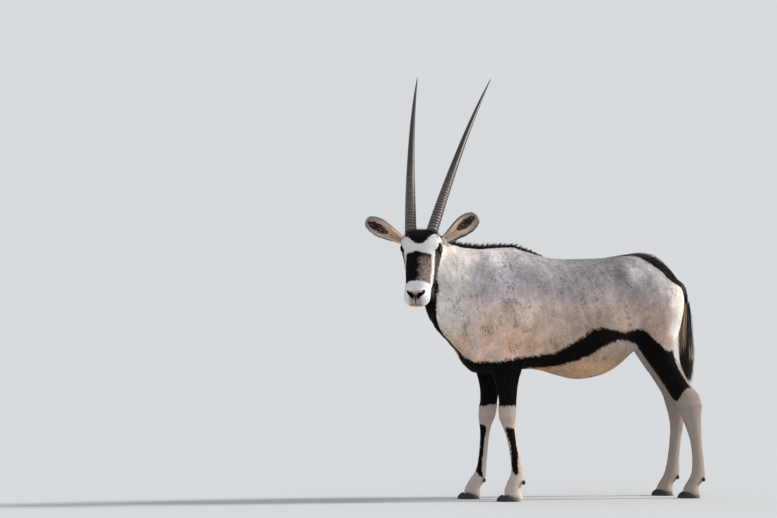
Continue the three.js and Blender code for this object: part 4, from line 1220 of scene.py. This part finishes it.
# The ridges of the rings are painted lighter than the sheath: a painted highlight on the rings.
colour = blended(tree, attribute(tree, "ridge", "Fac"), sheath, (0.14, 0.112, 0.1, 1))
finish_with(tree, shader, colour, grain, 0.3, 0.002)

for name, (hand, spread, side_bow) in HORNS.items():
    stations = horn_stations()
    places = [horn_axis(hand, spread, side_bow, share) for share, rise in stations]
    sizes = [HORN_RADIUS * (1 - min(share, 0.999)) ** 0.84 + HORN_TIP + rise for share, rise in stations]
    turned = Vector(places[1] - places[0]).to_track_quat("Z", "Y").to_euler()
    deselect()
    bpy.ops.mesh.primitive_circle_add(
        vertices=HORN_SIDES, radius=sizes[0], fill_type="NGON", location=places[0], rotation=turned
    )
    horn = bpy.context.object
    horn.name = name.replace("horn_", "sheath_")
    bpy.ops.object.mode_set(mode="EDIT")
    bpy.ops.mesh.select_all(action="SELECT")
    for index in range(1, len(stations)):
        step = Vector(places[index] - places[index - 1])
        bpy.ops.mesh.extrude_region_move(TRANSFORM_OT_translate={"value": step})
        share = sizes[index] / sizes[index - 1]
        bpy.ops.transform.resize(value=(share, share, share), center_override=Vector(places[index]))
    bpy.ops.object.mode_set(mode="OBJECT")
    bpy.ops.object.transform_apply(location=True, rotation=True, scale=True)
    layer = horn.data.attributes.new("ridge", "FLOAT", "POINT")
    spots = vectors(horn, "co")
    centres = np.array(places)
    station = np.arange(len(spots)) // HORN_SIDES
    spokes = spots - centres[station]
    ways = unit(np.gradient(centres, axis=0)[station])
    turn = np.arctan2(spokes @ LEFT, spokes @ LEVEL)
    ringed = soft_step(station, 4 * HORN_RINGS, 3 * HORN_RINGS) * (station > 0)
    wave = 0.0018 * np.sin(turn + station * 0.07) + 0.0012 * np.sin(2 * turn + station * 0.19)
    place_at(horn, spots + ways * (wave * ringed)[:, None])
    rises = np.array([rise for share, rise in stations])
    layer.data.foreach_set("value", np.minimum(rises / RIDGE_HEIGHT, 1.0)[station])
    bpy.ops.object.shade_smooth()
    horn.data.materials.append(horn_finish)
    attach(horn, "root")
    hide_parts(name)

# Eyes: large dark brown balls with a wet, clear front, held by black lids. Each is a sphere set
# in its socket, a little smaller than the eyeball of the frame.
EYE_GAP = 0.0004
EYE_BROWN = (0.012, 0.006, 0.004, 1)
eye_finish, _, _ = new_finish("wet_eye", Base_Color=EYE_BROWN, Roughness=0.06, Coat_Weight=0.6)
for name, hand in (("eye_left", 1), ("eye_right", -1)):
    deselect()
    middle = off_head(np.array([EYE_PLACE[0], hand * EYE_PLACE[1], EYE_PLACE[2]]))
    radius = EYE_RADIUS - EYE_GAP
    bpy.ops.mesh.primitive_uv_sphere_add(segments=32, ring_count=20, radius=radius, location=middle)
    eye = bpy.context.object
    eye.name = name.replace("eye_", "ball_")
    bpy.ops.object.transform_apply(location=True, rotation=True, scale=True)
    bpy.ops.object.shade_smooth()
    eye.data.materials.append(eye_finish)
    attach(eye, "root")
    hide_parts(name)

# Hooves: two black claws of keratin under each foot and two small dewclaws behind it, dull and
# finely streaked from the coronet down.
HOOF_EDGE = 0.0025
hoof_finish, tree, shader = new_finish("hoof_keratin", Roughness=0.6)
grain = noise(tree, stretched(tree, (1.0, 1.0, 0.15)), 320.0, 3.0)
colour = blended(tree, grain, (0.004, 0.003, 0.003, 1), (0.026, 0.021, 0.019, 1))
finish_with(tree, shader, colour, grain, 0.4, 0.001)
for end in ("fore", "hind"):
    for side in ("left", "right"):
        for way in ("inner", "outer"):
            for kind in ("claw", "dewclaw"):
                name = f"{end}_{kind}_{side}_{way}"
                hoof = copy_of(name, name + "_horn")
                apply(hoof, "BEVEL", width=HOOF_EDGE, segments=2, limit_method="ANGLE")
                only(hoof)
                bpy.ops.object.shade_smooth_by_angle(angle=math.radians(40))
                hoof.data.materials.append(hoof_finish)
                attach(hoof, "root")
                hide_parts(name)
